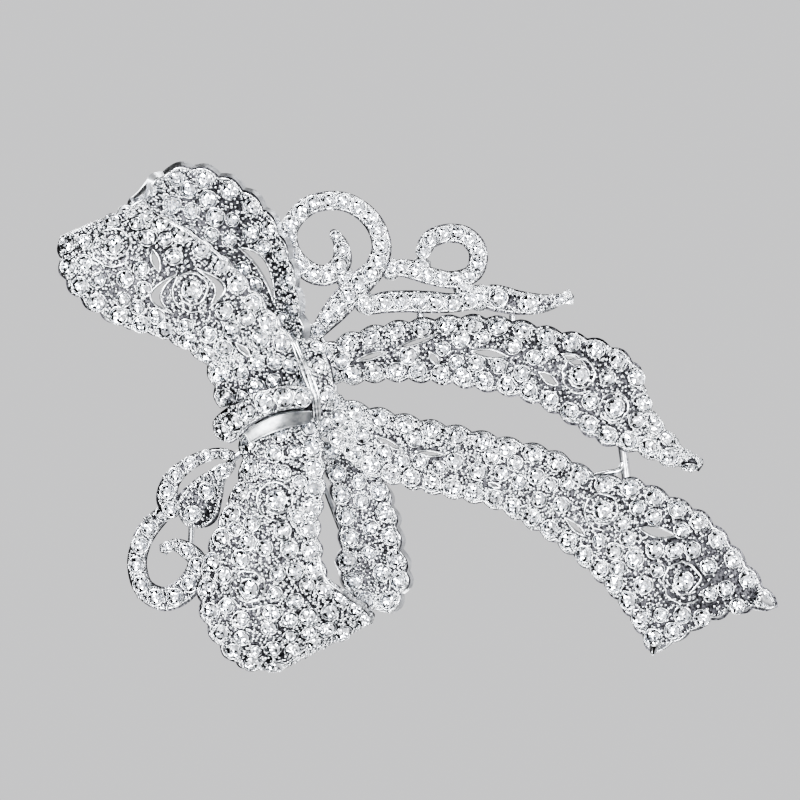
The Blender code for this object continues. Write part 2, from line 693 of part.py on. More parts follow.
def catch(pivot, plated, steel):
    """C-shaped housing on its foot, and the turning lock inside it. Both slots face +Y at rest."""
    slot = math.radians(SLOT_HALF_DEG)
    x0, x1 = CATCH_AT - CATCH_LENGTH, CATCH_AT
    shell = arc_shell(CATCH_INNER_R, CATCH_OUTER_R, slot, 2 * math.pi - slot, x0, x1, 20)
    housing = add("catch_housing", in_metres(shell), plated, pivot)
    base_front = -PIN_BEHIND - CATCH_SEAT
    foot = bmesh.new()
    low, high = base_front + BASE_THICK / 2, -(CATCH_INNER_R + CATCH_OUTER_R) / 2
    box(foot, (x0 + FOOT_INSET, low, -FOOT_HALF), (x1 - FOOT_INSET, high, FOOT_HALF))
    boolean(housing, add("catch_foot", in_metres(foot), plated, pivot), "UNION")
    pad = bmesh.new()
    rear = base_front + BASE_THICK
    box(pad, (x0 - PAD_LIP, base_front, -PAD_HALF), (x1 + PAD_LIP, rear, PAD_HALF))
    boolean(housing, add("catch_pad", in_metres(pad), plated, pivot), "UNION")

    past = x1 + ROLLER_PAST_HOUSING
    ring = arc_shell(ROLLER_INNER_R, ROLLER_OUTER_R, slot, 2 * math.pi - slot, x0, past, 20)
    roller = add("catch_roller", in_metres(ring), steel, pivot)
    tab = bmesh.new()
    root, reach = (ROLLER_INNER_R + ROLLER_OUTER_R) / 2, ROLLER_OUTER_R + TAB_LENGTH
    box(tab, (x1 + TAB_INSET, -TAB_WIDTH / 2, root), (past, TAB_WIDTH / 2, reach))
    boolean(roller, add("roller_tab", in_metres(tab), steel, pivot), "UNION")


def oval(name, middle, half, front, back, look):
    """A flat oval block, parallel to the back."""
    mesh = bmesh.new()
    bmesh.ops.create_cone(mesh, cap_ends=True, segments=28, radius1=1, radius2=1, depth=1)
    mesh.transform(Matrix.Rotation(math.radians(90), 4, "X"))
    mesh.transform(Matrix.Diagonal((half[0], front - back, half[1], 1.0)))
    made = add(name, in_metres(mesh), look)
    made.location = Vector((middle[0], -(front + back) / 2, middle[1])) * MM


def build():
    for old in list(bpy.data.objects):
        bpy.data.objects.remove(old, do_unlink=True)
    plated = material("plated_metal", (0.80, 0.81, 0.83), 0.22, 1.0)
    polished = material("polished_plate", (0.84, 0.85, 0.87), 0.10, 1.0)
    steel = material("pin_steel", (0.70, 0.71, 0.73), 0.20, 1.0)
    crystal = material("clear_crystal", (0.92, 0.94, 0.96), 0.05, 0.0)

    strips = {
        "upper_loop_front": ribbon("upper_loop_front", UPPER_LOOP_FRONT, 1.4, 11, 0.0, plated),
        "upper_loop_back": ribbon("upper_loop_back", UPPER_LOOP_BACK, -0.8, 10, 0.0, plated),
        "lower_loop_front": ribbon("lower_loop_front", LOWER_LOOP_FRONT, 1.4, 12, 0.0, plated),
        "lower_loop_back": ribbon("lower_loop_back", LOWER_LOOP_BACK, -0.5, 8, 0.0, plated),
        "upper_tail": ribbon("upper_tail", UPPER_TAIL, 1.1, 18, 0.0, plated),
        "lower_tail": ribbon("lower_tail", LOWER_TAIL, 1.1, 20, 1.6, plated),
    }
    ribbon("knot_side", KNOT_SIDE, 0.5, 0, 0.0, plated)
    collar = Strip(KNOT_COLLAR, 0.1, 0.8)
    add("knot_collar", sheet(collar, outline(collar, 0, 0.0), []), polished)
    strips["knot_band"] = scroll("knot_band", KNOT_BAND, 0.5, plated)[0]
    strips["large_scroll"] = scroll("large_scroll", LARGE_SCROLL, 0.4, plated)[0]
    scroll("scroll_lower_bar", LOWER_BAR, 0.4, plated)
    scroll("small_scroll", SMALL_SCROLL, 0.4, plated)
    strips["flame_leaf"] = scroll("flame_leaf", FLAME_LEAF, 0.5, plated)[0]
    crescent = scroll("side_crescent", SIDE_CRESCENT, 0.4, plated)[1]
    strips["side_crescent"], bulb = scroll("side_bulb", SIDE_BULB, 0.8, plated)
    boolean(crescent, bulb, "UNION", "MANIFOLD")
    scroll("side_spiral", SIDE_SPIRAL, 0.4, plated)
    for name in POSTS:
        post(name, plated)
    oval("knot_plate", *PLATE, plated)
    oval("knot_core", *CORE, plated)

    for i, place in enumerate(KNOT_STONES):
        stone(f"knot_stone_{i + 1}", strips["knot_band"], place, KNOT_STONE_R, crystal)
    for name, (seat, place) in ROSETTES.items():
        stone("rosette_stone_" + name, strips[seat], place, ROSETTE_STONE_R, crystal)
    for name, (seat, place) in SCROLL_STONES.items():
        stone(name, strips[seat], place, SCROLL_STONE_R, crystal)

    pivot = bpy.data.objects.new("pin_pivot", None)
    bpy.context.scene.collection.objects.link(pivot)
    pivot.location = Vector((RIVET_POINT[0], PIN_BEHIND, RIVET_POINT[1])) * MM
    pivot.rotation_euler = (0, math.radians(PIN_TILT_DEG), 0)
    hinge(pivot, plated, steel)
    catch(pivot, plated, steel)


build()
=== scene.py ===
"""Looks of the rhinestone bow brooch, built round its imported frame.

Lengths are millimetres until a mesh is made. As in the frame, +Z is up as worn and the front faces -Y.
"""

import math

import bmesh
import bpy
import numpy as np
from mathutils import Matrix, Vector
from mathutils.geometry import delaunay_2d_cdt


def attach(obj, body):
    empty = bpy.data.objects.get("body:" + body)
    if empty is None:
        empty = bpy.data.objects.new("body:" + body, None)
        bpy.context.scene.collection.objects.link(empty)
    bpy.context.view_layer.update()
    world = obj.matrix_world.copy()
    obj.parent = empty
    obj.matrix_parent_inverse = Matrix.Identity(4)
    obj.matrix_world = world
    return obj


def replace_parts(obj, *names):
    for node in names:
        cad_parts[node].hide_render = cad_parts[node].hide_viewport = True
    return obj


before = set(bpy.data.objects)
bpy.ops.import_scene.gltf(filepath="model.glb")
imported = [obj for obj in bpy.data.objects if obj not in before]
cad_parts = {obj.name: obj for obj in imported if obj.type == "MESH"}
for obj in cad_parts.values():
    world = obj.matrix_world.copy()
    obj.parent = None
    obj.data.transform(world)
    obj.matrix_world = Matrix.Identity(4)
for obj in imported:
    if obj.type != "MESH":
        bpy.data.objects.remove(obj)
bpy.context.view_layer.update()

MM = 0.001
SEED = 7
BODY = "bow"

# Castings, as in the frame
RIBBON_THICK = 1.2
BAND_THICK = 1.5
LOBE_DEPTH = 0.55
END_LOBES = 6
END_LOBE_DEPTH = 0.45

# Mesh grid on a casting, and points along each lobe
GRID = 0.7
LOBE_STEPS = 9

# Stones: radii of the filling, of the edge rows and of the rosettes, and the least radius on an edge
STONE_R = (0.78, 1.08)
EDGE_STONE_R = 1.02
ROSETTE_STONE_R = 1.1
LEAST_EDGE_STONE_R = 0.55
STONE_PITCH = 0.36
STONE_INSET = 0.95
STONE_CLEAR = 0.06
EDGE_STONE_CLEAR = 0.05
STONE_RISE = 0.12
STONE_TILT = 0.05

# Cups, and the four beads that hold each stone
CUP_GAP = 0.2
CUP_WIRE = 0.13
CUP_RISE = 0.14
SEAT_SHARE = 0.62
BEAD_R = 0.21
BEAD_GAP = 0.05
BEAD_RISE = 0.16

# Grains over the metal between the stones
GRAIN_R = (0.23, 0.34)
GRAIN_PITCH = 0.45
GRAIN_INSET = 0.32
GRAIN_CLEAR = 0.12

# Milled beads and wires along the edges
MILL_R = 0.2
MILL_PITCH = 0.42
MILL_INSET = 0.55
MILL_CLEAR = 0.28
RIM_WIRE = 0.24
RIM_INSET = 0.3
RIM_DROP = 0.12
SLIT_WIRE = 0.17

# Rosette spiral: inner radius, turns, wire at its start and end, height above the casting
SPIRAL_START = 1.65
SPIRAL_TURNS = 1.3
SPIRAL_WIRE = (0.24, 0.16)
SPIRAL_RISE = 0.22

# Drops of solder: half depth, grains on each, radii of the stone and its cup
DROP_DEPTH = 0.9
DROP_GRAINS = 160
DROP_STONE_R = 0.78
DROP_CUP_R = 0.9
GOLDEN_TURN = 2.39996

# Each ribbon's stations: left edge then right edge, seen going outwards from the knot, (x, z, out)
RIBBONS = {
    "upper_loop_front": dict(
        crown=1.4, lobes=11,
        stations=[
            ((-0.4, 8.2, 6.2), (1.4, -3.9, 6.6)),
            ((4.0, 9.3, 8.0), (7.4, -1.9, 8.2)),
            ((6.4, 10.7, 9.2), (11.0, 0.3, 9.2)),
            ((9.2, 15.5, 10.5), (15.5, 3.8, 10.0)),
            ((11.0, 21.6, 11.4), (19.6, 7.5, 10.5)),
            ((14.0, 26.2, 11.4), (22.9, 11.9, 10.0)),
            ((17.7, 28.9, 10.5), (25.1, 15.8, 8.6)),
            ((22.6, 29.4, 8.6), (27.0, 18.9, 6.6)),
        ],
    ),
    "upper_loop_back": dict(
        crown=-0.8, lobes=10,
        stations=[
            ((7.3, -0.1, 3.4), (8.4, -2.7, 3.6)),
            ((8.9, 2.1, 3.0), (14.4, -1.9, 4.0)),
            ((12.3, 4.5, 2.2), (20.5, -0.7, 4.4)),
            ((16.4, 7.5, 1.7), (26.3, 2.3, 4.4)),
            ((20.5, 11.4, 1.7), (30.3, 7.0, 4.0)),
            ((23.7, 15.5, 2.2), (32.1, 12.7, 3.7)),
            ((24.8, 19.6, 3.6), (30.5, 16.8, 3.6)),
            ((25.1, 23.4, 5.4), (28.2, 18.2, 3.6)),
        ],
    ),
    "lower_loop_front": dict(
        crown=1.4, lobes=12,
        stations=[
            ((-4.0, 5.3, 7.6), (-1.5, -4.6, 7.4)),
            ((-8.9, 5.1, 9.5), (-6.2, -5.4, 8.5)),
            ((-13.6, 7.0, 11.0), (-11.6, -5.6, 9.6)),
            ((-18.2, 8.9, 12.0), (-15.8, -5.0, 10.6)),
            ((-22.6, 10.4, 12.0), (-19.9, -5.4, 11.0)),
            ((-27.0, 10.3, 11.5), (-23.3, -6.4, 11.0)),
            ((-31.5, 8.4, 10.0), (-25.3, -9.2, 9.6)),
            ((-34.9, 5.2, 8.0), (-27.3, -11.6, 7.2)),
            ((-35.6, 0.0, 5.6), (-29.3, -12.3, 4.8)),
        ],
    ),
    "lower_loop_back": dict(
        crown=-0.5, lobes=8,
        stations=[
            ((-4.8, -5.3, 3.2), (-5.2, -10.8, 2.6)),
            ((-8.9, -6.3, 2.5), (-10.5, -13.7, 2.4)),
            ((-13.7, -7.3, 2.0), (-15.1, -15.2, 3.2)),
            ((-18.5, -8.1, 2.0), (-19.6, -16.0, 3.4)),
            ((-21.9, -7.8, 2.0), (-23.3, -17.0, 3.4)),
            ((-25.6, -9.5, 2.5), (-26.2, -15.8, 3.2)),
            ((-27.5, -11.4, 3.0), (-28.1, -14.4, 3.0)),
        ],
    ),
    "upper_tail": dict(
        crown=1.1, lobes=18,
        stations=[
            ((3.4, -5.3, 5.2), (7.0, -4.2, 5.4)),
            ((3.2, -9.2, 4.4), (9.2, -8.5, 4.6)),
            ((3.6, -14.2, 3.8), (10.7, -13.8, 4.1)),
            ((3.4, -20.1, 3.4), (11.5, -19.5, 3.7)),
            ((2.6, -25.6, 3.2), (11.9, -25.6, 3.4)),
            ((1.6, -30.8, 3.3), (11.4, -31.1, 3.3)),
            ((0.1, -35.2, 3.6), (10.1, -36.8, 3.3)),
            ((-2.5, -39.6, 3.8), (8.4, -43.4, 3.4)),
            ((-4.9, -43.4, 3.6), (5.3, -48.1, 3.4)),
            ((-6.3, -48.4, 3.2), (-0.4, -50.0, 3.2)),
            ((-8.1, -52.7, 2.8), (-5.1, -53.7, 2.8)),
            ((-8.6, -56.8, 2.4), (-7.9, -57.3, 2.4)),
        ],
    ),
    "lower_tail": dict(
        crown=1.1, lobes=20, notch=1.6,
        stations=[
            ((-2.7, -4.6, 5.6), (2.3, -5.5, 6.0)),
            ((-6.4, -8.5, 4.9), (0.4, -9.2, 5.2)),
            ((-9.3, -12.2, 4.4), (-0.7, -13.0, 4.4)),
            ((-11.0, -17.7, 4.0), (-2.1, -18.8, 4.0)),
            ((-12.3, -23.2, 3.4), (-3.4, -24.9, 3.8)),
            ((-13.6, -28.6, 3.0), (-4.8, -30.8, 3.8)),
            ((-16.4, -33.8, 3.0), (-6.4, -36.8, 3.8)),
            ((-19.6, -38.6, 3.4), (-9.5, -42.7, 3.6)),
            ((-23.7, -43.2, 3.8), (-10.3, -47.8, 3.4)),
            ((-27.4, -46.4, 4.0), (-12.5, -52.7, 3.2)),
            ((-31.4, -49.0, 3.8), (-16.4, -58.8, 3.2)),
            ((-33.6, -50.3, 3.4), (-27.4, -67.4, 3.0)),
        ],
    ),
    "knot_side": dict(
        crown=0.5, lobes=0,
        stations=[
            ((9.0, -1.9, 6.8), (8.9, -4.9, 6.2)),
            ((5.6, -3.1, 8.6), (5.9, -6.6, 8.0)),
            ((2.2, -4.4, 9.0), (2.0, -7.3, 8.4)),
            ((-1.8, -4.7, 8.7), (-1.6, -7.0, 8.1)),
        ],
    ),
}

# The plain collar under the knot band: its lower then its upper edge (x, z, out)
COLLAR = [
    ((-5.0, 3.9, 9.4), (-3.6, 4.9, 9.8)),
    ((-4.2, 2.4, 10.0), (-2.6, 3.1, 10.7)),
    ((-3.4, 0.4, 10.4), (-1.5, 0.8, 11.3)),
    ((-2.8, -1.6, 10.2), (-1.0, -1.5, 11.2)),
    ((-2.3, -4.0, 9.3), (-0.8, -4.2, 9.9)),
]

# Each scroll's centre line, (x, z, out, width), its crown, and the pitch and radius of its row of stones
SCROLLS = {
    "knot_band": dict(crown=0.5, stones=(2.55, 1.08), line=[
        (-4.1, 8.3, 8.6, 3.4), (-2.9, 6.9, 10.4, 4.2), (-1.1, 4.7, 12.1, 3.8),
        (0.3, 2.1, 12.9, 3.6), (1.0, -1.0, 12.6, 3.4), (1.0, -4.2, 11.0, 3.0),
    ]),
    "large_scroll": dict(crown=0.4, stones=(2.05, 0.9), line=[
        (7.9, -2.9, 1.7, 1.6), (10.3, -5.0, 2.0, 2.3), (13.0, -7.3, 2.6, 3.4),
        (16.0, -10.0, 3.0, 3.6), (18.6, -12.6, 3.4, 3.0), (21.8, -13.5, 3.6, 2.7),
        (25.3, -12.0, 3.6, 2.6), (27.6, -8.4, 3.6, 2.6), (27.2, -3.9, 3.2, 2.6),
        (24.2, -1.0, 2.4, 2.5), (20.8, -1.3, 2.2, 2.5), (18.2, -3.6, 2.3, 2.8),
        (17.7, -6.2, 2.7, 2.9), (19.3, -8.0, 3.2, 2.8), (21.7, -8.0, 3.2, 2.1),
        (23.8, -6.7, 3.0, 1.0),
    ]),
    "scroll_lower_bar": dict(crown=0.4, stones=(2.15, 0.92), line=[
        (13.0, -10.6, 2.6, 2.0), (13.9, -13.4, 2.8, 2.9), (14.1, -16.6, 3.0, 3.0),
        (14.0, -20.0, 3.0, 3.0), (13.9, -23.4, 3.0, 2.6), (14.4, -26.6, 3.0, 2.4),
    ]),
    "small_scroll": dict(crown=0.4, stones=(1.9, 0.8), line=[
        (18.8, -15.2, 2.8, 2.2), (18.4, -17.6, 3.0, 2.6), (17.5, -20.2, 3.2, 2.4),
        (17.0, -23.2, 3.4, 2.4), (18.0, -26.0, 3.4, 2.5), (20.8, -26.6, 3.4, 2.6),
        (22.9, -25.0, 3.4, 2.6), (23.3, -22.3, 3.4, 2.6), (22.3, -19.9, 3.2, 2.5),
        (20.0, -18.9, 3.0, 1.9),
    ]),
    "flame_leaf": dict(crown=0.5, stones=(3.3, 1.05), line=[
        (14.9, -27.3, 3.0, 3.1), (14.5, -29.2, 3.2, 3.7), (13.9, -32.2, 3.2, 3.3),
        (13.8, -35.2, 3.2, 2.6), (14.3, -37.6, 3.2, 1.6), (14.9, -39.6, 3.0, 0.6),
    ]),
    "side_crescent": dict(crown=0.4, stones=(2.5, 0.85), line=[
        (-7.1, 6.4, 4.0, 1.6), (-6.5, 8.6, 4.0, 1.5), (-7.3, 11.4, 4.0, 1.8),
        (-8.8, 13.7, 4.0, 2.1), (-10.7, 15.2, 4.0, 2.6), (-13.0, 15.5, 4.0, 3.0),
        (-15.2, 14.4, 4.0, 1.8),
    ]),
    "side_bulb": dict(crown=0.8, stones=(3.0, 0.95), line=[
        (-7.8, 6.4, 3.9, 1.6), (-9.5, 8.6, 3.9, 2.6), (-11.4, 10.0, 3.9, 4.6),
        (-14.1, 11.6, 3.9, 6.2), (-16.2, 13.0, 3.9, 3.2),
    ]),
    "side_spiral": dict(crown=0.4, stones=(2.6, 0.95), line=[
        (-13.9, 15.3, 1.6, 2.0), (-16.7, 18.1, 2.6, 2.8), (-19.2, 19.3, 3.2, 2.7),
        (-21.9, 19.7, 3.2, 2.7), (-24.8, 18.8, 3.2, 2.8), (-26.3, 16.3, 3.2, 3.3),
        (-25.5, 13.8, 3.2, 3.4), (-23.3, 11.9, 3.2, 3.2), (-21.0, 11.6, 3.2, 2.6),
        (-19.5, 13.2, 3.2, 2.2), (-19.0, 14.9, 3.0, 1.6), (-19.9, 16.6, 2.8, 0.8),
    ]),
}

# Slits: two ends (x, z), the width between them and, on a curved one, how far it bows
SLITS = {
    "upper_loop_front": [
        ((20.7, 16.9), (17.4, 15.9), 0.8),
        ((8.4, 5.9), (6.4, 3.9), 1.1),
        ((17.2, 13.6), (12.0, 14.0), 1.0, 1.7),
        ((18.2, 11.3), (12.9, 9.4), 1.1, -2.0),
    ],
    "upper_loop_back": [((21.6, 6.0), (13.4, 1.0), 1.3, -0.9)],
    "upper_tail": [
        ((6.0, -10.2), (7.1, -14.2), 0.9),
        ((7.7, -15.5), (9.6, -21.0), 0.7),
        ((7.3, -19.9), (5.4, -21.4), 0.9),
        ((7.3, -25.4), (6.6, -30.8), 0.9),
        ((6.9, -37.9), (5.4, -41.0), 0.9),
        ((4.6, -34.6), (2.6, -37.2), 0.9),
    ],
    "lower_tail": [
        ((-4.1, -12.8), (-6.0, -16.4), 1.1),
        ((-6.3, -18.2), (-6.8, -22.2), 0.9),
        ((-10.6, -27.8), (-11.2, -29.6), 0.8),
        ((-15.2, -38.4), (-17.8, -41.2), 1.0),
        ((-16.8, -48.2), (-17.6, -53.6), 1.0),
    ],
}

# Raised rosettes: place of the centre stone, outer radius
ROSETTES = {
    "upper_loop_front": [((21.0, 22.1), 3.2), ((15.3, 11.6), 2.9)],
    "lower_loop_front": [((-12.6, 0.4), 2.9), ((-24.1, 3.8), 2.9)],
    "upper_tail": [((4.1, -40.3), 2.6), ((-0.4, -45.1), 2.2)],
    "lower_tail": [((-14.2, -43.3), 2.8), ((-23.8, -54.4), 3.2)],
}

# Smooth rolled edges: from and to along the ribbon, place across it, radius
ROLLED_EDGES = {
    "lower_loop_front": (0.5, 1.0, 0.985, 0.42),
    "upper_loop_front": (0.45, 1.0, 0.985, 0.32),
}

# Soldered joints between the scrolls, each under a stone: place (x, z, out), radius
JOINTS = {
    "ring_joint": (18.5, -14.8, 2.9, 1.25),
    "ring_foot_joint": (18.9, -18.9, 3.0, 1.1),
    "bar_joint": (14.0, -11.2, 2.9, 1.3),
    "leaf_joint": (14.6, -26.9, 3.1, 1.6),
    "bar_ring_joint": (16.0, -24.6, 3.2, 1.2),
    "swirl_joint": (17.3, -8.6, 2.7, 1.2),
}

# Gathered folds beside the knot: points (x, z, out) of their middle line, radii, how far apart
FOLDS = [(9.2, -1.5, 8.2), (6.2, -2.75, 9.15), (3.2, -3.95, 9.5), (0.6, -4.75, 9.5), (-2.4, -4.9, 9.2)]
FOLD_RADII = (0.3, 0.34, 0.28)
FOLD_PITCH = 0.5

# The strut's second arm, along the lower tail's edge: points (x, z, out) and radius
STRUT_ARM = [(-7.4, -46.7, 1.3), (-8.9, -45.9, 1.6), (-9.3, -43.8, 2.3), (-10.0, -41.0, 2.9)]
STRUT_ARM_R = 0.42

# Plain claws at the tips: root then tip (x, z, out), radius at the root
CLAWS = {
    "lower_tail_claw": ((-25.9, -64.4, 4.4), (-27.2, -66.8, 3.2), 0.7),
    "lower_tail_hook": ((-31.9, -50.5, 4.9), (-33.9, -50.3, 3.4), 0.75),
}

# Posts between the castings: two ends (x, z, out) and radius
POSTS = {
    "tail_strut": ((-3.9, -46.2, 1.2), (-12.4, -47.2, 1.2), 0.75),
    "leaf_stub": ((14.6, -31.4, 1.2), (9.4, -31.4, 1.2), 0.6),
    "bar_stub": ((13.8, -18.8, 1.0), (9.4, -18.8, 1.0), 0.6),
    "ring_stub": ((17.4, -8.2, 0.9), (20.2, -8.6, 0.9), 0.5),
    "crescent_root": ((-7.4, 6.8, 1.5), (-3.6, 2.6, 1.5), 0.6),
    "spiral_bridge": ((-15.6, 12.4, 1.2), (-19.8, 12.6, 1.2), 0.5),
    "bulb_prong": ((-13.6, 7.2, 2.6), (-13.9, 5.6, 9.0), 0.5),
    "spiral_prong": ((-22.2, 9.0, 2.0), (-22.4, 8.6, 10.2), 0.5),
}

# Oval blocks behind the knot: middle (x, z), half lengths, how far the front and the back stand out
OVALS = {
    "knot_plate": ((2.6, -1.0), (9.5, 6.5), 0.5, -0.5),
    "knot_core": ((2.0, 0.0), (4.0, 3.8), 4.6, 0.8),
}

# CAD nodes of drawn steel
STEEL_NODES = ("pin_stem", "hinge_rivet", "catch_roller")

# Soft boxes: place and size in metres, power in watts
AIM = (0.0, 0.0, -0.016)
LAMPS = {
    "key": ((0.22, -0.34, 0.20), (0.16, 0.16), 2.6),
    "fill": ((-0.30, -0.30, 0.05), (0.14, 0.24), 1.6),
    "low": ((0.10, -0.30, -0.32), (0.20, 0.12), 1.3),
    "front": ((0.03, -0.55, 0.05), (0.10, 0.10), 1.2),
    "rim_left": ((-0.34, 0.06, 0.22), (0.12, 0.30), 1.2),
    "rim_right": ((0.36, 0.04, -0.12), (0.12, 0.30), 1.2),
    "back_key": ((0.20, 0.42, 0.24), (0.24, 0.24), 1.2),
    "back_fill": ((-0.30, 0.38, -0.05), (0.12, 0.30), 0.8),
}

# Light from the far surroundings: place from right behind (0) to right ahead (1), and grey
SURROUNDINGS = ((0.08, 0.30), (0.26, 0.03), (0.74, 0.012), (0.94, 1.0))

# CAD stones that the detailed ones stand for, by the casting they sit on
CAD_STONES = {
    "knot_band": [f"knot_stone_{i + 1}" for i in range(6)],
    "upper_loop_front": ["rosette_stone_upper_loop_tip", "rosette_stone_upper_loop_middle"],
    "lower_loop_front": ["rosette_stone_lower_loop_upper", "rosette_stone_lower_loop_lower"],
    "upper_tail": ["rosette_stone_upper_tail_upper", "rosette_stone_upper_tail_lower"],
    "lower_tail": ["rosette_stone_lower_tail_upper", "rosette_stone_lower_tail_lower"],
    "large_scroll": ["scroll_stone_stem", "scroll_stone_side", "scroll_stone_top"],
    "flame_leaf": ["leaf_stone_upper", "leaf_stone_lower"],
    "side_bulb": ["bulb_stone"],
}


def smooth(points, at):
    """The Catmull-Rom curve through the points, at 0 to 1 along their list, for an array of places."""
    points = np.asarray(points, float)
    last = len(points) - 1
    place = np.clip(np.asarray(at, float), 0, 1) * last
    first = np.minimum(place.astype(int), last - 1)
    f = (place - first)[..., None]
    a, b = points[np.maximum(first - 1, 0)], points[first]
    c, d = points[first + 1], points[np.minimum(first + 2, last)]
    return b + 0.5 * f * (c - a + f * (2 * a - 5 * b + 4 * c - d + f * (3 * (b - c) + d - a)))


def unit(vectors):
    return vectors / np.maximum(np.linalg.norm(vectors, axis=-1, keepdims=True), 1e-9)


class Strip:
    """A casting's front surface in mm: s runs 0 to 1 along it, t 0 to 1 from its left edge to its right."""

    def __init__(self, left, right, crown, thick):
        self.left, self.right = np.asarray(left, float), np.asarray(right, float)
        self.crown, self.thick = crown, thick
        middle = (self.left + self.right) / 2
        self.length = float(np.linalg.norm(np.diff(middle, axis=0), axis=1).sum())
        self.width = float(np.linalg.norm(self.left - self.right, axis=1).mean())
        self.sign = 1.0
        self.sign = -np.sign(self.normal(0.5, 0.5)[1])

    def point(self, s, t):
        s, t = np.asarray(s, float), np.asarray(t, float)
        a, b = smooth(self.left, s), smooth(self.right, s)
        face = a + (b - a) * t[..., None]
        out = face[..., 2] + self.crown * (1 - (2 * t - 1) ** 2)
        return np.stack([face[..., 0], -out, face[..., 1]], axis=-1)

    def normal(self, s, t):
        s, t = np.asarray(s, float), np.asarray(t, float)
        step = 0.008
        along = self.point(np.minimum(s + step, 1), t) - self.point(np.maximum(s - step, 0), t)
        across = self.point(s, t + step) - self.point(s, t - step)
        return unit(np.cross(along, across)) * self.sign

    def locate(self, x, z):
        s, t = np.meshgrid(np.linspace(0, 1, 161), np.linspace(0, 1, 41), indexing="ij")
        p = self.point(s, t)
        i = np.argmin((p[..., 0] - x) ** 2 + (p[..., 2] - z) ** 2)
        return float(s.flat[i]), float(t.flat[i])

    def flat(self, s, t):
        return np.stack([np.asarray(s) * self.length, (np.asarray(t) - 0.5) * self.width], axis=-1)

    def from_flat(self, flat):
        return flat[..., 0] / self.length, flat[..., 1] / self.width + 0.5


def edge_strip(stations, crown, thick):
    """A strip from its stations, each with a place on both of its edges."""
    return Strip([a for a, b in stations], [b for a, b in stations], crown, thick)


def scroll_strip(line, crown):
    """A scroll's strip, from its centre line and widths."""
    steps = 5 * (len(line) - 1)
    at = np.linspace(0, 1, steps + 1)
    mid = smooth(line, at)
    along = unit(smooth(line, at + 0.5 / steps)[:, :2] - smooth(line, at - 0.5 / steps)[:, :2])
    side = np.stack([-along[:, 1], along[:, 0]], axis=1) * mid[:, 3:4] / 2
    out = mid[:, 2:3]
    return Strip(
        np.hstack([mid[:, :2] + side, out]), np.hstack([mid[:, :2] - side, out]), crown, BAND_THICK
    )


def rounded(strip):
    """A scroll's outline in flat millimetres, with both of its ends rounded off."""
    s = np.linspace(0, 1, max(int(strip.length / GRID), 8) * 2 + 1)
    half = strip.width / 2
    bend = np.linspace(0, half / strip.length, 7)[1:]
    s = np.sort(np.concatenate([s, bend, 1 - bend]))
    to_end = np.minimum(s, 1 - s) * strip.length / half
    across = half * np.sqrt(np.clip(1 - np.clip(1 - to_end, 0, 1) ** 2, 0.02, 1))
    left = np.stack([s * strip.length, -across], axis=1)
    return np.vstack([left, np.stack([s * strip.length, across], axis=1)[::-1]])


def lobed_edge(strip, t, lobes):
    """One long edge in flat millimetres, with lobes of equal length and depth on the surface."""
    s = np.linspace(0, 1, 401)
    edge = strip.point(s, np.full(401, t))
    run = np.concatenate([[0], np.cumsum(np.linalg.norm(np.diff(edge, axis=0), axis=1))])
    place = np.interp(np.linspace(0, run[-1], lobes * LOBE_STEPS + 1), run, s)
    other = strip.point(place, np.full(len(place), 1 - t))
    wide = np.linalg.norm(other - strip.point(place, np.full(len(place), t)), axis=1)
    swell = np.abs(np.sin(math.pi * np.arange(len(place)) / LOBE_STEPS))
    depth = LOBE_DEPTH * np.clip(wide / 4, 0.3, 1) * swell * strip.width / wide
    side = 1 if t > 0.5 else -1
    return np.stack([place * strip.length, side * (strip.width / 2 + depth)], axis=1)


def outline(strip, lobes, notch):
    """The strip's edge in flat millimetres, with its rounded lobes and its notched end."""
    half = strip.width / 2
    if lobes:
        left, right = lobed_edge(strip, 0.0, lobes), lobed_edge(strip, 1.0, lobes)
    else:
        s = np.linspace(0, 1, max(int(strip.length / GRID), 8) + 1)
        left = np.stack([s * strip.length, 0 * s - half], axis=1)
        right = np.stack([s * strip.length, 0 * s + half], axis=1)
    steps = END_LOBES * LOBE_STEPS if notch else max(int(strip.width / GRID), 3)
    f = np.linspace(0, 1, steps + 1)[1:-1]
    scallop = END_LOBE_DEPTH * np.abs(np.sin(math.pi * END_LOBES * f)) if notch else 0.0
    end = np.stack(
        [strip.length - notch * np.sin(math.pi * f) + scallop, -half + strip.width * f], axis=1
    )
    start = np.stack([0 * f, half - strip.width * f], axis=1)
    return np.vstack([left, end, right[::-1], start])


def lens(strip, slit):
    """A slit's outline in flat millimetres: two arcs between its ends."""
    (x0, z0), (x1, z1), wide, bow = (*slit, 0.0)[:4]
    a = strip.flat(*strip.locate(x0, z0))
    b = strip.flat(*strip.locate(x1, z1))
    along = b - a
    side = unit(np.array([-along[1], along[0]]))
    f = np.linspace(0, 1, 15)[:-1, None]
    over = a + along * f + side * (bow + wide / 2) * np.sin(math.pi * f)
    back = b - along * f + side * (bow - wide / 2) * np.sin(math.pi * f)
    return np.vstack([over, back])


def inside(points, loop):
    """Which of the points lie inside the loop."""
    x, y = points[:, 0:1], points[:, 1:2]
    a, b = loop, np.roll(loop, -1, axis=0)
    dy = np.where(b[:, 1] == a[:, 1], 1e-12, b[:, 1] - a[:, 1])
    spans = (a[:, 1] > y) != (b[:, 1] > y)
    hit = spans & (x < (b[:, 0] - a[:, 0]) * (y - a[:, 1]) / dy + a[:, 0])
    return hit.sum(axis=1) % 2 == 1


def gaps(points, centres, sizes=0.0):
    """From each point, the least gap to balls with these centres and radii."""
    least = np.empty(len(points))
    for first in range(0, len(points), 2000):
        apart = np.linalg.norm(points[first : first + 2000, None] - centres[None], axis=2)
        least[first : first + 2000] = (apart - sizes).min(axis=1)
    return least


def balls(taken):
    """The centres and the radii of the places taken."""
    return np.array([c for c, r in taken]), np.array([r for c, r in taken])


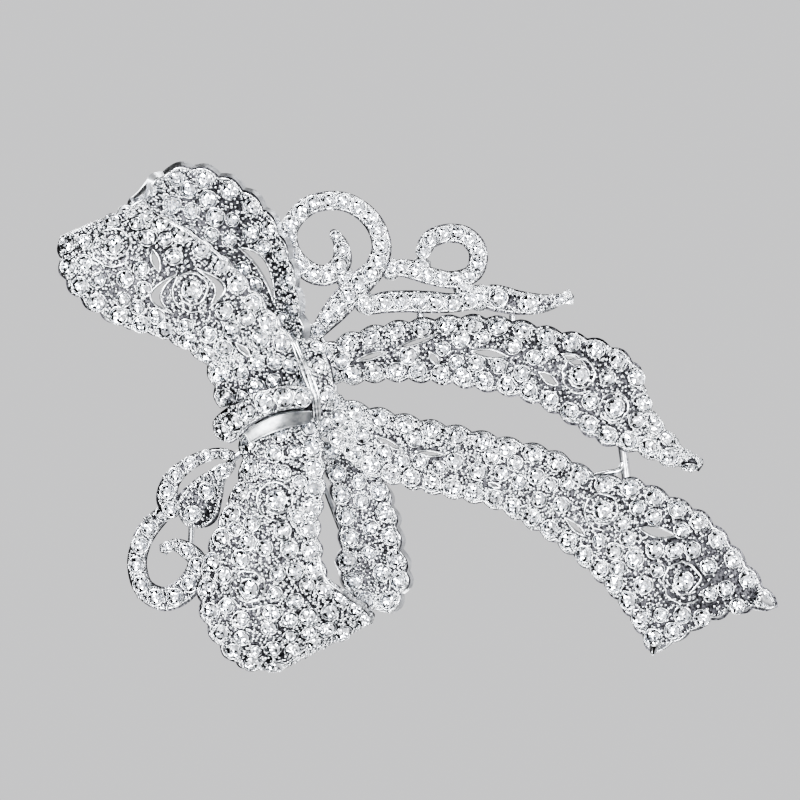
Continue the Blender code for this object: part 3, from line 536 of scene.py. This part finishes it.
class Pile:
    """Vertices and faces of one piece, gathered in mm."""

    def __init__(self):
        self.verts, self.faces, self.count, self.shades = [], [], 0, []

    def take(self, verts, faces, shades=None):
        self.verts.append(np.asarray(verts, float))
        self.faces += [[i + self.count for i in face] for face in faces]
        self.shades += shades or [0] * len(faces)
        self.count += len(verts)

    def stamp(self, template, centres, normals, radii, spins):
        """A copy of the template at each centre, its +Z along the normal."""
        verts, faces = template
        normals = unit(normals)
        helper = np.where(np.abs(normals[:, 1:2]) > 0.9, [[0.0, 0.0, 1.0]], [[0.0, 1.0, 0.0]])
        u = unit(np.cross(helper, normals))
        v = np.cross(normals, u)
        c, s = np.cos(spins)[:, None], np.sin(spins)[:, None]
        u, v = u * c + v * s, v * c - u * s
        basis = np.stack([u, v, normals], axis=1)
        placed = np.einsum("vk,nkj->nvj", verts, basis) * radii[:, None, None]
        placed += centres[:, None]
        faces = np.asarray(faces, dtype=object)
        self.verts.append(placed.reshape(-1, 3))
        for n in range(len(centres)):
            base = self.count + n * len(verts)
            self.faces += [[i + base for i in face] for face in faces]
        self.shades += [0] * (len(centres) * len(faces))
        self.count += len(centres) * len(verts)

    def tube(self, path, radius, sides=8, closed=False):
        """A round wire along a path."""
        path = np.asarray(path, float)
        if closed:
            along = unit(np.roll(path, -1, axis=0) - np.roll(path, 1, axis=0))
        else:
            along = unit(np.gradient(path, axis=0))
        u = unit(np.cross(along, [[0.0, 1.0, 0.0]]) + 1e-6)
        v = np.cross(along, u)
        turn = np.linspace(0, 2 * math.pi, sides, endpoint=False)
        ring = u[:, None] * np.cos(turn)[None, :, None] + v[:, None] * np.sin(turn)[None, :, None]
        radius = np.broadcast_to(np.asarray(radius, float), (len(path),))
        verts = path[:, None] + ring * radius[:, None, None]
        n = len(path)
        rows = n if closed else n - 1
        faces = []
        for i in range(rows):
            a, b = i * sides, ((i + 1) % n) * sides
            for j in range(sides):
                k = (j + 1) % sides
                faces.append([a + j, a + k, b + k, b + j])
        if not closed:
            faces.append(list(range(sides))[::-1])
            faces.append([(n - 1) * sides + j for j in range(sides)])
        self.take(verts.reshape(-1, 3), faces)

    def made(self, name, looks, slot, sharp_deg=None):
        """One piece that rides on the bow: smooth, sharp past an angle, or all flat at 0."""
        data = bpy.data.meshes.new(name)
        data.from_pydata(np.vstack(self.verts) * MM, [], self.faces)
        for look in looks:
            data.materials.append(look)
        data.polygons.foreach_set("material_index", self.shades)
        data.validate()
        if sharp_deg == 0:
            data.shade_flat()
        else:
            data.shade_smooth()
        if sharp_deg:
            data.set_sharp_from_angle(angle=math.radians(sharp_deg))
        piece = bpy.data.objects.new(name, data)
        bpy.context.scene.collection.objects.link(piece)
        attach(piece, BODY)
        return piece


def ball(level):
    """A round bead of unit radius."""
    mesh = bmesh.new()
    bmesh.ops.create_icosphere(mesh, subdivisions=level, radius=1.0)
    verts = np.array([v.co[:] for v in mesh.verts])
    faces = [[v.index for v in f.verts] for f in mesh.faces]
    mesh.free()
    return verts, faces


def cut_stone():
    """A round cut stone of unit radius, with the star of its foiled back seen in its table."""
    verts, faces = [], []

    def ring(radius, height, count, shift):
        first = len(verts)
        for i in range(count):
            turn = 2 * math.pi * (i + shift) / count
            verts.append((radius * math.cos(turn), radius * math.sin(turn), height))
        return first

    foot = ring(0.92, -0.20, 16, 0)
    girdle = ring(1.0, 0.10, 16, 0)
    crown = ring(0.80, 0.32, 8, 0.5)
    table = ring(0.56, 0.42, 8, 0)
    star = ring(0.32, 0.36, 8, 0.5)
    for i in range(0, 8, 2):
        verts[star + i] = (*verts[star + i][:2], 0.22)
    verts.append((0, 0, 0.30))
    middle = len(verts) - 1
    for i in range(8):
        j = (i + 1) % 8
        g0, g1, g2 = girdle + 2 * i, girdle + 2 * i + 1, girdle + (2 * i + 2) % 16
        faces += [
            [table + i, crown + i, table + j],
            [table + i, girdle + 2 * i, crown + i],
            [crown + i, girdle + (2 * i + 2) % 16, table + j],
            [crown + i, g0, g1],
            [crown + i, g1, g2],
            [table + i, table + j, star + i],
            [star + i, table + j, middle],
            [star + i, middle, table + i],
        ]
    for i in range(16):
        j = (i + 1) % 16
        faces.append([foot + i, foot + j, girdle + j, girdle + i])
    faces.append([foot + i for i in range(16)][::-1])
    return np.array(verts), faces


def cup_ring():
    """The bright rim of a stone's cup: a ring of unit radius."""
    rounds, sides = 18, 6
    verts, faces = [], []
    for i in range(rounds):
        a = 2 * math.pi * i / rounds
        for j in range(sides):
            b = 2 * math.pi * j / sides
            r = 1.0 + CUP_WIRE * math.cos(b)
            verts.append((r * math.cos(a), r * math.sin(a), CUP_WIRE * math.sin(b)))
    for i in range(rounds):
        for j in range(sides):
            k, m = (i + 1) % rounds, (j + 1) % sides
            faces.append([i * sides + j, k * sides + j, k * sides + m, i * sides + m])
    return np.array(verts), faces


def shell(strip, border, holes, pile):
    """The casting: its outline and slits, laid on the surface and given a thickness."""
    loops = [border, *holes]
    edges, first = [], 0
    for loop in loops:
        n = len(loop)
        edges += [(first + i, first + (i + 1) % n) for i in range(n)]
        first += n
    fixed = np.vstack(loops)
    a = np.arange(GRID / 2, strip.length, GRID)
    b = np.arange(-strip.width / 2 + GRID / 2, strip.width / 2, GRID)
    grid = np.stack(np.meshgrid(a, b, indexing="ij"), axis=-1).reshape(-1, 2)
    keep = inside(grid, border) & (gaps(grid, fixed) >= 0.35 * GRID)
    for hole in holes:
        keep &= ~inside(grid, hole)
    every = np.vstack([fixed, grid[keep]])
    found = delaunay_2d_cdt([Vector(p) for p in every], edges, [], 0, 1e-5)
    points = np.array([tuple(p) for p in found[0]])
    faces = np.array([f for f in found[2] if len(f) == 3])
    middle = points[faces].mean(axis=1)
    kept = inside(middle, border)
    for hole in holes:
        kept &= ~inside(middle, hole)
    faces = faces[kept]
    s, t = strip.from_flat(points)
    front = strip.point(s, t)
    back = front - strip.normal(s, t) * strip.thick
    n = len(points)
    ends = {tuple(e) for f in faces for e in ((f[0], f[1]), (f[1], f[2]), (f[2], f[0]))}
    rim = [e for e in ends if (e[1], e[0]) not in ends]
    corner = front[faces]
    turned = np.cross(corner[:, 1] - corner[:, 0], corner[:, 2] - corner[:, 0])
    forward = (turned * strip.normal(s, t)[faces[:, 0]]).sum() > 0
    shape, shades = [], []
    for f in faces.tolist():
        shape.append(f if forward else f[::-1])
        shape.append([i + n for i in (f[::-1] if forward else f)])
        shades += [0, 1]
    for i, j in sorted(rim):
        wall = [j, i, i + n, j + n]
        shape.append(wall if forward else wall[::-1])
        shades.append(1)
    used = np.unique(np.array([i for f in shape for i in f]))
    new = -np.ones(2 * n, int)
    new[used] = np.arange(len(used))
    pile.take(np.vstack([front, back])[used], [[int(new[i]) for i in f] for f in shape], shades)


def spread(flat_points, strip, taken, radii, gap):
    """Greedy filling: a candidate is kept where it clears all that is kept before it."""
    place = strip.point(*strip.from_flat(flat_points))
    kept = []
    for i, r in enumerate(radii):
        if taken and gaps(place[i : i + 1], *balls(taken))[0] < r + gap:
            continue
        taken.append((place[i], r))
        kept.append(i)
    return kept


def candidates(strip, border, holes, pitch, inset, rng):
    """Jittered places all over the strip, clear of its edges and slits."""
    a = np.arange(pitch / 2, strip.length, pitch)
    b = np.arange(-strip.width / 2 - 1, strip.width / 2 + 1, pitch)
    grid = np.stack(np.meshgrid(a, b, indexing="ij"), axis=-1).reshape(-1, 2)
    grid = grid + rng.uniform(-0.45, 0.45, grid.shape) * pitch
    keep = inside(grid, border)
    for hole in holes:
        keep &= ~inside(grid, hole)
    grid = grid[keep]
    edges = np.vstack([border, *holes]) if holes else border
    apart = gaps(strip.point(*strip.from_flat(grid)), strip.point(*strip.from_flat(edges)))
    return grid[apart >= inset]


class Looks:
    """Everything that decorates one casting, gathered by finish."""

    def __init__(self, name):
        self.name = name
        self.base, self.stones, self.bright, self.seats = Pile(), Pile(), Pile(), Pile()

    def finish(self, replaced, stone_nodes):
        # The casting's front takes painted shade, near-black metal that darkens the gaps between stones and
        # grains; back and walls take the plain cast metal
        base = self.base.made(self.name + "_casting", (SHADOW_METAL, BACK_METAL), "plated_metal", 40)
        if replaced:
            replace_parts(base, *replaced)
        self.bright.made(self.name + "_settings", (BRIGHT_METAL,), "plated_metal")
        if self.seats.count:
            self.seats.made(self.name + "_seats", (BACK_METAL,), "plated_metal")
        if self.stones.count:
            stones = self.stones.made(self.name + "_stones", (CRYSTAL,), "crystal", 0)
            if stone_nodes:
                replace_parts(stones, *stone_nodes)


BALL = ball(2)
SEAT = (BALL[0] * [1.0, 1.0, 0.45], BALL[1])
GRAIN = ball(1)
STONE = cut_stone()
CUP = cup_ring()


def set_stones(looks, strip, flat_points, radii, rng):
    """Stones in their cups, and four small beads that hold each."""
    if not len(flat_points):
        return
    s, t = strip.from_flat(np.asarray(flat_points))
    place, up = strip.point(s, t), strip.normal(s, t)
    radii = np.asarray(radii, float)
    tilt = unit(up + rng.normal(0, STONE_TILT, up.shape))
    seat = place + up * STONE_RISE
    looks.stones.stamp(STONE, seat, tilt, radii, rng.uniform(0, 6.28, len(radii)))
    looks.seats.stamp(SEAT, place - up * strip.thick, -up, radii * SEAT_SHARE, np.zeros(len(radii)))
    looks.bright.stamp(CUP, place + up * CUP_RISE, up, radii + CUP_GAP, rng.uniform(0, 6.28, len(radii)))
    helper = unit(np.cross(up, [[1.0, 0.0, 0.2]]))
    other = np.cross(up, helper)
    spin = rng.uniform(0, 6.28, len(radii))
    for k in range(4):
        turn = (spin + k * math.pi / 2)[:, None]
        ring = helper * np.cos(turn) + other * np.sin(turn)
        at = place + ring * (radii[:, None] + BEAD_GAP) + up * (BEAD_RISE + 0.2 * radii[:, None])
        looks.bright.stamp(BALL, at, up, np.full(len(radii), BEAD_R), spin)


def edge_line(strip, border, inset):
    """The border in 3-D, moved inwards a little."""
    middle = border.mean(axis=0)
    ahead = np.roll(border, -1, axis=0) - np.roll(border, 1, axis=0)
    side = unit(np.stack([-ahead[:, 1], ahead[:, 0]], axis=1))
    test = border + side * 0.05
    if inside(test, border).mean() < 0.5:
        side = -side
    flat = border + side * inset
    s, t = strip.from_flat(flat)
    return strip.point(s, t), strip.normal(s, t)


def even(path, pitch):
    """Places at an even pitch round a closed path."""
    ends = np.vstack([path, path[:1]])
    steps = np.linalg.norm(np.diff(ends, axis=0), axis=1)
    run = np.concatenate([[0], np.cumsum(steps)])
    at = np.arange(0, run[-1], pitch)
    return np.stack([np.interp(at, run, ends[:, k]) for k in range(3)], axis=1)


def trim_edges(looks, strip, border, holes, rng):
    """A round rim wire on every edge, and a row of beads just inside it."""
    path, up = edge_line(strip, border, RIM_INSET)
    s = np.clip(border[:, 0] / strip.length, 0, 1)
    wide = np.linalg.norm(strip.point(s, np.ones_like(s)) - strip.point(s, np.zeros_like(s)), axis=1)
    looks.bright.tube(path - up * RIM_DROP, RIM_WIRE * np.clip(wide / 2.2, 0.45, 1), closed=True)
    inner, up_in = edge_line(strip, border, MILL_INSET)
    beads = even(inner + up_in * 0.05, MILL_PITCH)
    beads = beads[gaps(beads, path) >= MILL_CLEAR]
    looks.bright.stamp(
        GRAIN, beads, np.tile([[0.0, -1.0, 0.0]], (len(beads), 1)),
        rng.uniform(0.85, 1.1, len(beads)) * MILL_R, rng.uniform(0, 6, len(beads)),
    )
    for hole in holes:
        s, t = strip.from_flat(hole)
        looks.bright.tube(strip.point(s, t) + strip.normal(s, t) * 0.03, SLIT_WIRE, closed=True)


def fill_grains(looks, strip, border, holes, taken, rng):
    """Fine granules over all the metal that the stones leave."""
    flat = candidates(strip, border, holes, GRAIN_PITCH, GRAIN_INSET, rng)
    s, t = strip.from_flat(flat)
    place, up = strip.point(s, t), strip.normal(s, t)
    if taken:
        clear = gaps(place, *balls(taken)) > GRAIN_CLEAR
        place, up = place[clear], up[clear]
    radii = rng.uniform(*GRAIN_R, len(place))
    looks.bright.stamp(GRAIN, place + up * radii[:, None] * 0.3, up, radii, rng.uniform(0, 6, len(place)))


def rosette(looks, strip, centre, radius, taken, rng):
    """A centre stone inside a raised spiral of wire."""
    s, t = strip.locate(*centre)
    middle, up = strip.point(s, t), strip.normal(s, t)
    set_stones(looks, strip, [strip.flat(s, t)], [ROSETTE_STONE_R], rng)
    taken.append((middle, 1.25))
    u = unit(np.cross(up, [1.0, 0.0, 0.3]))
    v = np.cross(up, u)
    turn = np.linspace(0, 2 * SPIRAL_TURNS * math.pi, 64)
    grow = np.linspace(SPIRAL_START, radius, 64)
    path = middle + (u * np.cos(turn)[:, None] + v * np.sin(turn)[:, None]) * grow[:, None]
    path = project(strip, path, up * SPIRAL_RISE)
    looks.bright.tube(path, np.linspace(*SPIRAL_WIRE, 64))
    for k in range(0, 64, 2):
        taken.append((path[k], SPIRAL_WIRE[1]))


def project(strip, path, lift):
    """The path dropped onto the strip's surface."""
    placed = []
    for p in path:
        s, t = strip.locate(p[0], p[2])
        placed.append(strip.point(s, t) + lift)
    placed = np.array(placed)
    placed[1:-1] = (placed[:-2] + placed[1:-1] * 2 + placed[2:]) / 4
    return placed


def make_ribbon(name, rng):
    """A ribbon with its slits, rosettes, edge rows of stones, filling of stones and grains."""
    r = RIBBONS[name]
    strip = edge_strip(r["stations"], r["crown"], RIBBON_THICK)
    border = outline(strip, r["lobes"], r.get("notch", 0.0))
    holes = [lens(strip, slit) for slit in SLITS.get(name, [])]
    looks = Looks(name)
    shell(strip, border, holes, looks.base)
    trim_edges(looks, strip, border, holes, rng)
    taken = []
    for centre, radius in ROSETTES.get(name, []):
        rosette(looks, strip, centre, radius, taken, rng)
    rows, sizes = [], []
    for t in (0.0, 1.0):
        edge = lobed_edge(strip, t, max(r["lobes"], 1))
        for flat in edge[LOBE_STEPS // 2 :: LOBE_STEPS] if r["lobes"] else []:
            s = flat[0] / strip.length
            wide = np.linalg.norm(strip.point(s, 1.0) - strip.point(s, 0.0))
            radius = min(EDGE_STONE_R, 0.3 * wide)
            if radius < LEAST_EDGE_STONE_R:
                continue
            inset = (radius + 0.1) / wide
            rows.append(strip.flat(s, inset if t == 0 else 1 - inset))
            sizes.append(radius)
    if rows:
        sizes = np.array(sizes)
        kept = spread(np.array(rows), strip, taken, sizes * 0.98, EDGE_STONE_CLEAR)
        set_stones(looks, strip, np.array(rows)[kept], sizes[kept], rng)
    more = candidates(strip, border, holes, STONE_PITCH, STONE_INSET, rng)
    more = more[rng.permutation(len(more))]
    sizes = rng.uniform(*STONE_R, len(more))
    kept = spread(more, strip, taken, sizes + CUP_GAP, STONE_CLEAR)
    set_stones(looks, strip, more[kept], sizes[kept], rng)
    fill_grains(looks, strip, border, holes, taken, rng)
    if name in ROLLED_EDGES:
        first, last, t, radius = ROLLED_EDGES[name]
        s = np.linspace(first, last, 60)
        path = strip.point(s, np.full(60, t)) + strip.normal(s, np.full(60, t)) * radius * 0.4
        looks.bright.tube(path, radius * np.sin(math.pi * np.linspace(0.12, 0.88, 60)), 10)
    looks.finish([name], CAD_STONES.get(name))


def make_scroll(name, replaced, rng):
    """A scroll with one row of stones along its middle, and grains."""
    r = SCROLLS[name]
    strip = scroll_strip(r["line"], r["crown"])
    looks = Looks(name)
    border = rounded(strip)
    shell(strip, border, [], looks.base)
    trim_edges(looks, strip, border, [], rng)
    pitch, radius = r["stones"]
    middle = strip.point(np.linspace(0, 1, 200), np.full(200, 0.5))
    run = np.concatenate([[0], np.cumsum(np.linalg.norm(np.diff(middle, axis=0), axis=1))])
    count = max(int(run[-1] / pitch), 1)
    taken, rows, sizes = [], [], []
    for i in range(count):
        s = float(np.interp((i + 0.5) * run[-1] / count, run, np.linspace(0, 1, 200)))
        wide = np.linalg.norm(strip.point(s, 1.0) - strip.point(s, 0.0))
        if wide < 1.3:
            continue
        rows.append(strip.flat(s, 0.5))
        sizes.append(min(radius, wide * 0.36))
        taken.append((strip.point(s, 0.5), sizes[-1]))
    set_stones(looks, strip, np.array(rows), sizes, rng)
    fill_grains(looks, strip, border, [], taken, rng)
    looks.finish(replaced, CAD_STONES.get(name))


def joint(name, x, z, out, radius, rng):
    """A granulated drop of solder that two castings share, with a stone on it."""
    looks = Looks(name)
    verts, faces = ball(3)
    middle = np.array([x, -out + 0.5, z])
    # The drop's front takes the painted shade, its back the plain cast metal
    behind = [int(np.mean([verts[i][1] for i in face]) > -0.2) for face in faces]
    looks.base.take(verts * [radius, DROP_DEPTH, radius] + middle, faces, behind)
    turn = np.arange(DROP_GRAINS) * GOLDEN_TURN
    high = 1 - np.arange(DROP_GRAINS) / DROP_GRAINS
    wide = np.sqrt(1 - high ** 2)
    up = np.stack([wide * np.cos(turn), -high, wide * np.sin(turn)], axis=1)
    place = middle + up * [radius, DROP_DEPTH, radius]
    keep = wide * radius > 0.75
    looks.bright.stamp(GRAIN, place[keep], up[keep], rng.uniform(*GRAIN_R, keep.sum()), turn[keep])
    seat = middle + np.array([[0, -0.85, 0]])
    front = np.array([[0.0, -1.0, 0.0]])
    looks.stones.stamp(STONE, seat, front, np.array([DROP_STONE_R]), np.array([x]))
    looks.bright.stamp(CUP, seat, front, np.array([DROP_CUP_R]), np.array([0.0]))
    looks.finish([], None)


def shader(name, colour, roughness, metallic):
    """A plain material, and its main node."""
    made = bpy.data.materials.new(name)
    made.use_nodes = True
    node = made.node_tree.nodes["Principled BSDF"]
    node.inputs["Base Color"].default_value = (*colour, 1)
    node.inputs["Roughness"].default_value = roughness
    node.inputs["Metallic"].default_value = metallic
    return made, node


def textured_metal(name, dark, light, rough, grain_mm, bump):
    """Plated metal: colour, roughness and bump all vary with a fine grain."""
    made, node = shader(name, light, rough[0], 1.0)
    tree = made.node_tree
    place = tree.nodes.new("ShaderNodeTexCoord")
    noise = tree.nodes.new("ShaderNodeTexNoise")
    noise.inputs["Scale"].default_value = 1 / (grain_mm * MM)
    noise.inputs["Detail"].default_value = 3.0
    tree.links.new(place.outputs["Object"], noise.inputs["Vector"])
    tint = tree.nodes.new("ShaderNodeValToRGB")
    tint.color_ramp.elements[0].position, tint.color_ramp.elements[1].position = 0.38, 0.62
    tint.color_ramp.elements[0].color = (*dark, 1)
    tint.color_ramp.elements[1].color = (*light, 1)
    tree.links.new(noise.outputs["Fac"], tint.inputs["Fac"])
    tree.links.new(tint.outputs["Color"], node.inputs["Base Color"])
    spread_rough = tree.nodes.new("ShaderNodeMapRange")
    spread_rough.inputs["To Min"].default_value = rough[0]
    spread_rough.inputs["To Max"].default_value = rough[1]
    tree.links.new(noise.outputs["Fac"], spread_rough.inputs["Value"])
    tree.links.new(spread_rough.outputs["Result"], node.inputs["Roughness"])
    rise = tree.nodes.new("ShaderNodeBump")
    rise.inputs["Strength"].default_value = bump
    rise.inputs["Distance"].default_value = 0.1 * MM
    tree.links.new(noise.outputs["Fac"], rise.inputs["Height"])
    tree.links.new(rise.outputs["Normal"], node.inputs["Normal"])
    return made


def crystal_material():
    """Foil-backed clear glass: mirror-bright facets under a hard clear coat."""
    made, node = shader("foiled_crystal", (0.93, 0.95, 0.98), 0.04, 1.0)
    tree = made.node_tree
    place = tree.nodes.new("ShaderNodeTexCoord")
    noise = tree.nodes.new("ShaderNodeTexNoise")
    noise.inputs["Scale"].default_value = 1 / (1.7 * MM)
    tree.links.new(place.outputs["Object"], noise.inputs["Vector"])
    tint = tree.nodes.new("ShaderNodeValToRGB")
    tint.color_ramp.elements[0].color = (0.86, 0.90, 0.97, 1)
    tint.color_ramp.elements[1].color = (0.98, 0.98, 0.99, 1)
    tree.links.new(noise.outputs["Fac"], tint.inputs["Fac"])
    tree.links.new(tint.outputs["Color"], node.inputs["Base Color"])
    node.inputs["Coat Weight"].default_value = 0.6
    node.inputs["Coat Roughness"].default_value = 0.02
    return made


BRIGHT_METAL = textured_metal(
    "bright_plate", (0.26, 0.27, 0.28), (0.72, 0.73, 0.75), rough=(0.08, 0.22), grain_mm=0.6, bump=0.2
)
# Painted shade: near-black metal on the casting fronts, so the gaps between the stones and grains read dark
SHADOW_METAL = textured_metal(
    "painted_shade_plate", (0.012, 0.012, 0.014), (0.10, 0.10, 0.11), rough=(0.25, 0.45), grain_mm=0.35, bump=0.6
)
BACK_METAL = textured_metal(
    "cast_back", (0.46, 0.47, 0.49), (0.62, 0.63, 0.65), rough=(0.22, 0.36), grain_mm=0.9, bump=0.3
)
STEEL = textured_metal(
    "pin_steel", (0.60, 0.61, 0.63), (0.74, 0.75, 0.77), rough=(0.14, 0.26), grain_mm=0.6, bump=0.1
)
POLISHED = textured_metal(
    "satin_plate", (0.24, 0.25, 0.26), (0.40, 0.41, 0.42), rough=(0.28, 0.40), grain_mm=0.9, bump=0.3
)
CRYSTAL = crystal_material()


def collar():
    """The plain collar with a round rim."""
    strip = edge_strip(COLLAR, 0.1, 0.8)
    pile = Pile()
    border = outline(strip, 0, 0.0)
    shell(strip, border, [], pile)
    pile.tube(edge_line(strip, border, 0.05)[0], 0.14, closed=True)
    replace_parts(pile.made("knot_collar_rim", (POLISHED, POLISHED), "polished_plate", 40), "knot_collar")


def folds():
    """Plain gathered folds between the loops and the knot's side."""
    path = smooth([(x, -out, z) for x, z, out in FOLDS], np.linspace(0, 1, 60))
    pile = Pile()
    for i, radius in enumerate(FOLD_RADII):
        shift = (i - 1) * FOLD_PITCH + 0.12 * np.sin(np.linspace(0, 9, 60) + 2 * i)
        ends = np.sqrt(np.clip(1.02 - np.abs(np.linspace(-1, 1, 60)) ** 3, 0.05, 1))
        pile.tube(path + np.outer(shift, [0.25, 0.0, 0.97]), radius * ends, 10)
    pile.made("knot_folds", (BRIGHT_METAL,), "plated_metal")


def strut_arm():
    """The strut's second arm."""
    path = smooth([(x, -out, z) for x, z, out in STRUT_ARM], np.linspace(0, 1, 30))
    pile = Pile()
    pile.tube(path, STRUT_ARM_R, 12)
    pile.made("tail_strut_arm", (BRIGHT_METAL,), "plated_metal")


def claw(name, root, tip, radius):
    """A smooth plain claw, slightly hooked."""
    a, b = np.array([root[0], -root[2], root[1]]), np.array([tip[0], -tip[2], tip[1]])
    f = np.linspace(0, 1, 14)[:, None]
    path = a + (b - a) * f + np.array([[0, 0.35, 0]]) * np.sin(math.pi * f)
    pile = Pile()
    pile.tube(path, radius * np.sqrt(np.clip(1.02 - f[:, 0] ** 1.6, 0.02, 1)), 14)
    pile.made(name, (BRIGHT_METAL,), "plated_metal")


def post(name):
    """A round post that flares into the castings at both of its ends."""
    (x0, z0, out0), (x1, z1, out1), radius = POSTS[name]
    f = np.linspace(0, 1, 25)
    path = np.outer(1 - f, [x0, -out0, z0]) + np.outer(f, [x1, -out1, z1])
    pile = Pile()
    pile.tube(path, radius * (0.84 + 0.16 * np.abs(2 * f - 1) ** 2.5), 16)
    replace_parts(pile.made(name + "_cast", (BACK_METAL,), "plated_metal"), name)


def oval(name):
    """A flat oval block with rounded rims and a rough front, the front painted near black as shade."""
    (x, z), (long, tall), front, back = OVALS[name]
    turn = np.linspace(0, 2 * math.pi, 64, endpoint=False)
    levels = [(0.9, back), (0.975, back + 0.08), (1.0, back + 0.3)]
    levels += [(1.0, front - 0.3), (0.975, front - 0.08), (0.93, front)]
    rings = [
        np.stack([x + long * k * np.cos(turn), 0 * turn - y, z + tall * k * np.sin(turn)], axis=1)
        for k, y in levels
    ]
    faces = [list(range(64))[::-1], [64 * (len(levels) - 1) + i for i in range(64)]]
    for k in range(len(levels) - 1):
        for i in range(64):
            j = (i + 1) % 64
            faces.append([64 * k + i, 64 * k + j, 64 * (k + 1) + j, 64 * (k + 1) + i])
    pile = Pile()
    pile.take(np.vstack(rings), faces, [0, 1] + [0] * (len(faces) - 2))
    made = pile.made(name + "_cast", (BACK_METAL, SHADOW_METAL), "plated_metal", 50)
    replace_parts(made, name)


def dress_frame():
    """Better materials on the CAD nodes that stay."""
    for name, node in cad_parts.items():
        look = STEEL if name in STEEL_NODES else BACK_METAL
        for slot in node.material_slots:
            slot.material = look


def area(name, place, size, power):
    """A soft box aimed at the bow."""
    light = bpy.data.lights.new(name, "AREA")
    light.shape = "RECTANGLE"
    light.size, light.size_y = size
    light.energy = power
    made = bpy.data.objects.new(name, light)
    bpy.context.scene.collection.objects.link(made)
    made.location = place
    made.rotation_euler = (Vector(AIM) - Vector(place)).to_track_quat("-Z", "Y").to_euler()


def surroundings():
    """A plain grey to the camera, and bright ahead and dark to the sides for the metal and the stones."""
    world = bpy.data.worlds.new("studio")
    bpy.context.scene.world = world
    world.use_nodes = True
    tree = world.node_tree
    tree.nodes.clear()
    out = tree.nodes.new("ShaderNodeOutputWorld")
    seen, lit = tree.nodes.new("ShaderNodeBackground"), tree.nodes.new("ShaderNodeBackground")
    seen.inputs["Color"].default_value = (0.62, 0.62, 0.63, 1)
    place, split = tree.nodes.new("ShaderNodeTexCoord"), tree.nodes.new("ShaderNodeSeparateXYZ")
    ahead, shade = tree.nodes.new("ShaderNodeMapRange"), tree.nodes.new("ShaderNodeValToRGB")
    ahead.inputs["From Min"].default_value, ahead.inputs["From Max"].default_value = 1.0, -1.0
    tree.links.new(place.outputs["Generated"], split.inputs["Vector"])
    tree.links.new(split.outputs["Y"], ahead.inputs["Value"])
    tree.links.new(ahead.outputs["Result"], shade.inputs["Fac"])
    steps = shade.color_ramp.elements
    steps[0].position, steps[0].color = 0.0, (0.55, 0.55, 0.56, 1)
    steps[1].position, steps[1].color = 0.985, (2.6, 2.6, 2.62, 1)
    for position, grey in SURROUNDINGS:
        steps.new(position).color = (grey, grey, grey, 1)
    tree.links.new(shade.outputs["Color"], lit.inputs["Color"])
    mix, ray = tree.nodes.new("ShaderNodeMixShader"), tree.nodes.new("ShaderNodeLightPath")
    tree.links.new(ray.outputs["Is Camera Ray"], mix.inputs["Fac"])
    tree.links.new(lit.outputs["Background"], mix.inputs[1])
    tree.links.new(seen.outputs["Background"], mix.inputs[2])
    tree.links.new(mix.outputs["Shader"], out.inputs["Surface"])


def ground():
    """A pale floor, far below."""
    floor_data = bpy.data.meshes.new("floor")
    w, h = 2.4, -0.6
    floor_data.from_pydata([(-w, -w, h), (w, -w, h), (w, w, h), (-w, w, h)], [], [(0, 1, 2, 3)])
    pale, node = shader("pale_floor", (0.80, 0.80, 0.81), 0.7, 0.0)
    node.inputs["Emission Color"].default_value = (0.80, 0.80, 0.81, 1)
    node.inputs["Emission Strength"].default_value = 0.4
    floor_data.materials.append(pale)
    floor = bpy.data.objects.new("floor", floor_data)
    bpy.context.scene.collection.objects.link(floor)


def studio():
    """Soft boxes with dark gaps between them, a pale floor and a pale far background."""
    for lamp, (place, size, power) in LAMPS.items():
        area(lamp, place, size, power)
    bpy.context.scene.view_settings.look = "AgX - High Contrast"
    surroundings()
    ground()


def camera():
    """Straight in front, rolled so that the tails run to the right."""
    lens_mm, sensor_mm, picture_mm = 120.0, 36.0, 109.6
    middle = Vector((0.7, 0, -16.0)) * MM
    distance = picture_mm * MM * lens_mm / sensor_mm
    data = bpy.data.cameras.new("camera")
    data.lens, data.sensor_width = lens_mm, sensor_mm
    data.clip_start, data.clip_end = 0.01, 10.0
    made = bpy.data.objects.new("camera", data)
    bpy.context.scene.collection.objects.link(made)
    turn = Matrix(((0, 1, 0), (0, 0, -1), (-1, 0, 0))).to_4x4()
    made.matrix_world = Matrix.Translation(middle + Vector((0, -distance, 0))) @ turn
    bpy.context.scene.camera = made


rng = np.random.default_rng(SEED)
camera()
studio()
dress_frame()
for ribbon_name in RIBBONS:
    make_ribbon(ribbon_name, rng)
for scroll_name in SCROLLS:
    make_scroll(scroll_name, [scroll_name] if scroll_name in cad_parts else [], rng)
collar()
for oval_name in OVALS:
    oval(oval_name)
for post_name in POSTS:
    post(post_name)
folds()
strut_arm()
for claw_name, (root, tip, radius) in CLAWS.items():
    claw(claw_name, root, tip, radius)
for joint_name, (x, z, out, radius) in JOINTS.items():
    joint(joint_name, x, z, out, radius, rng)
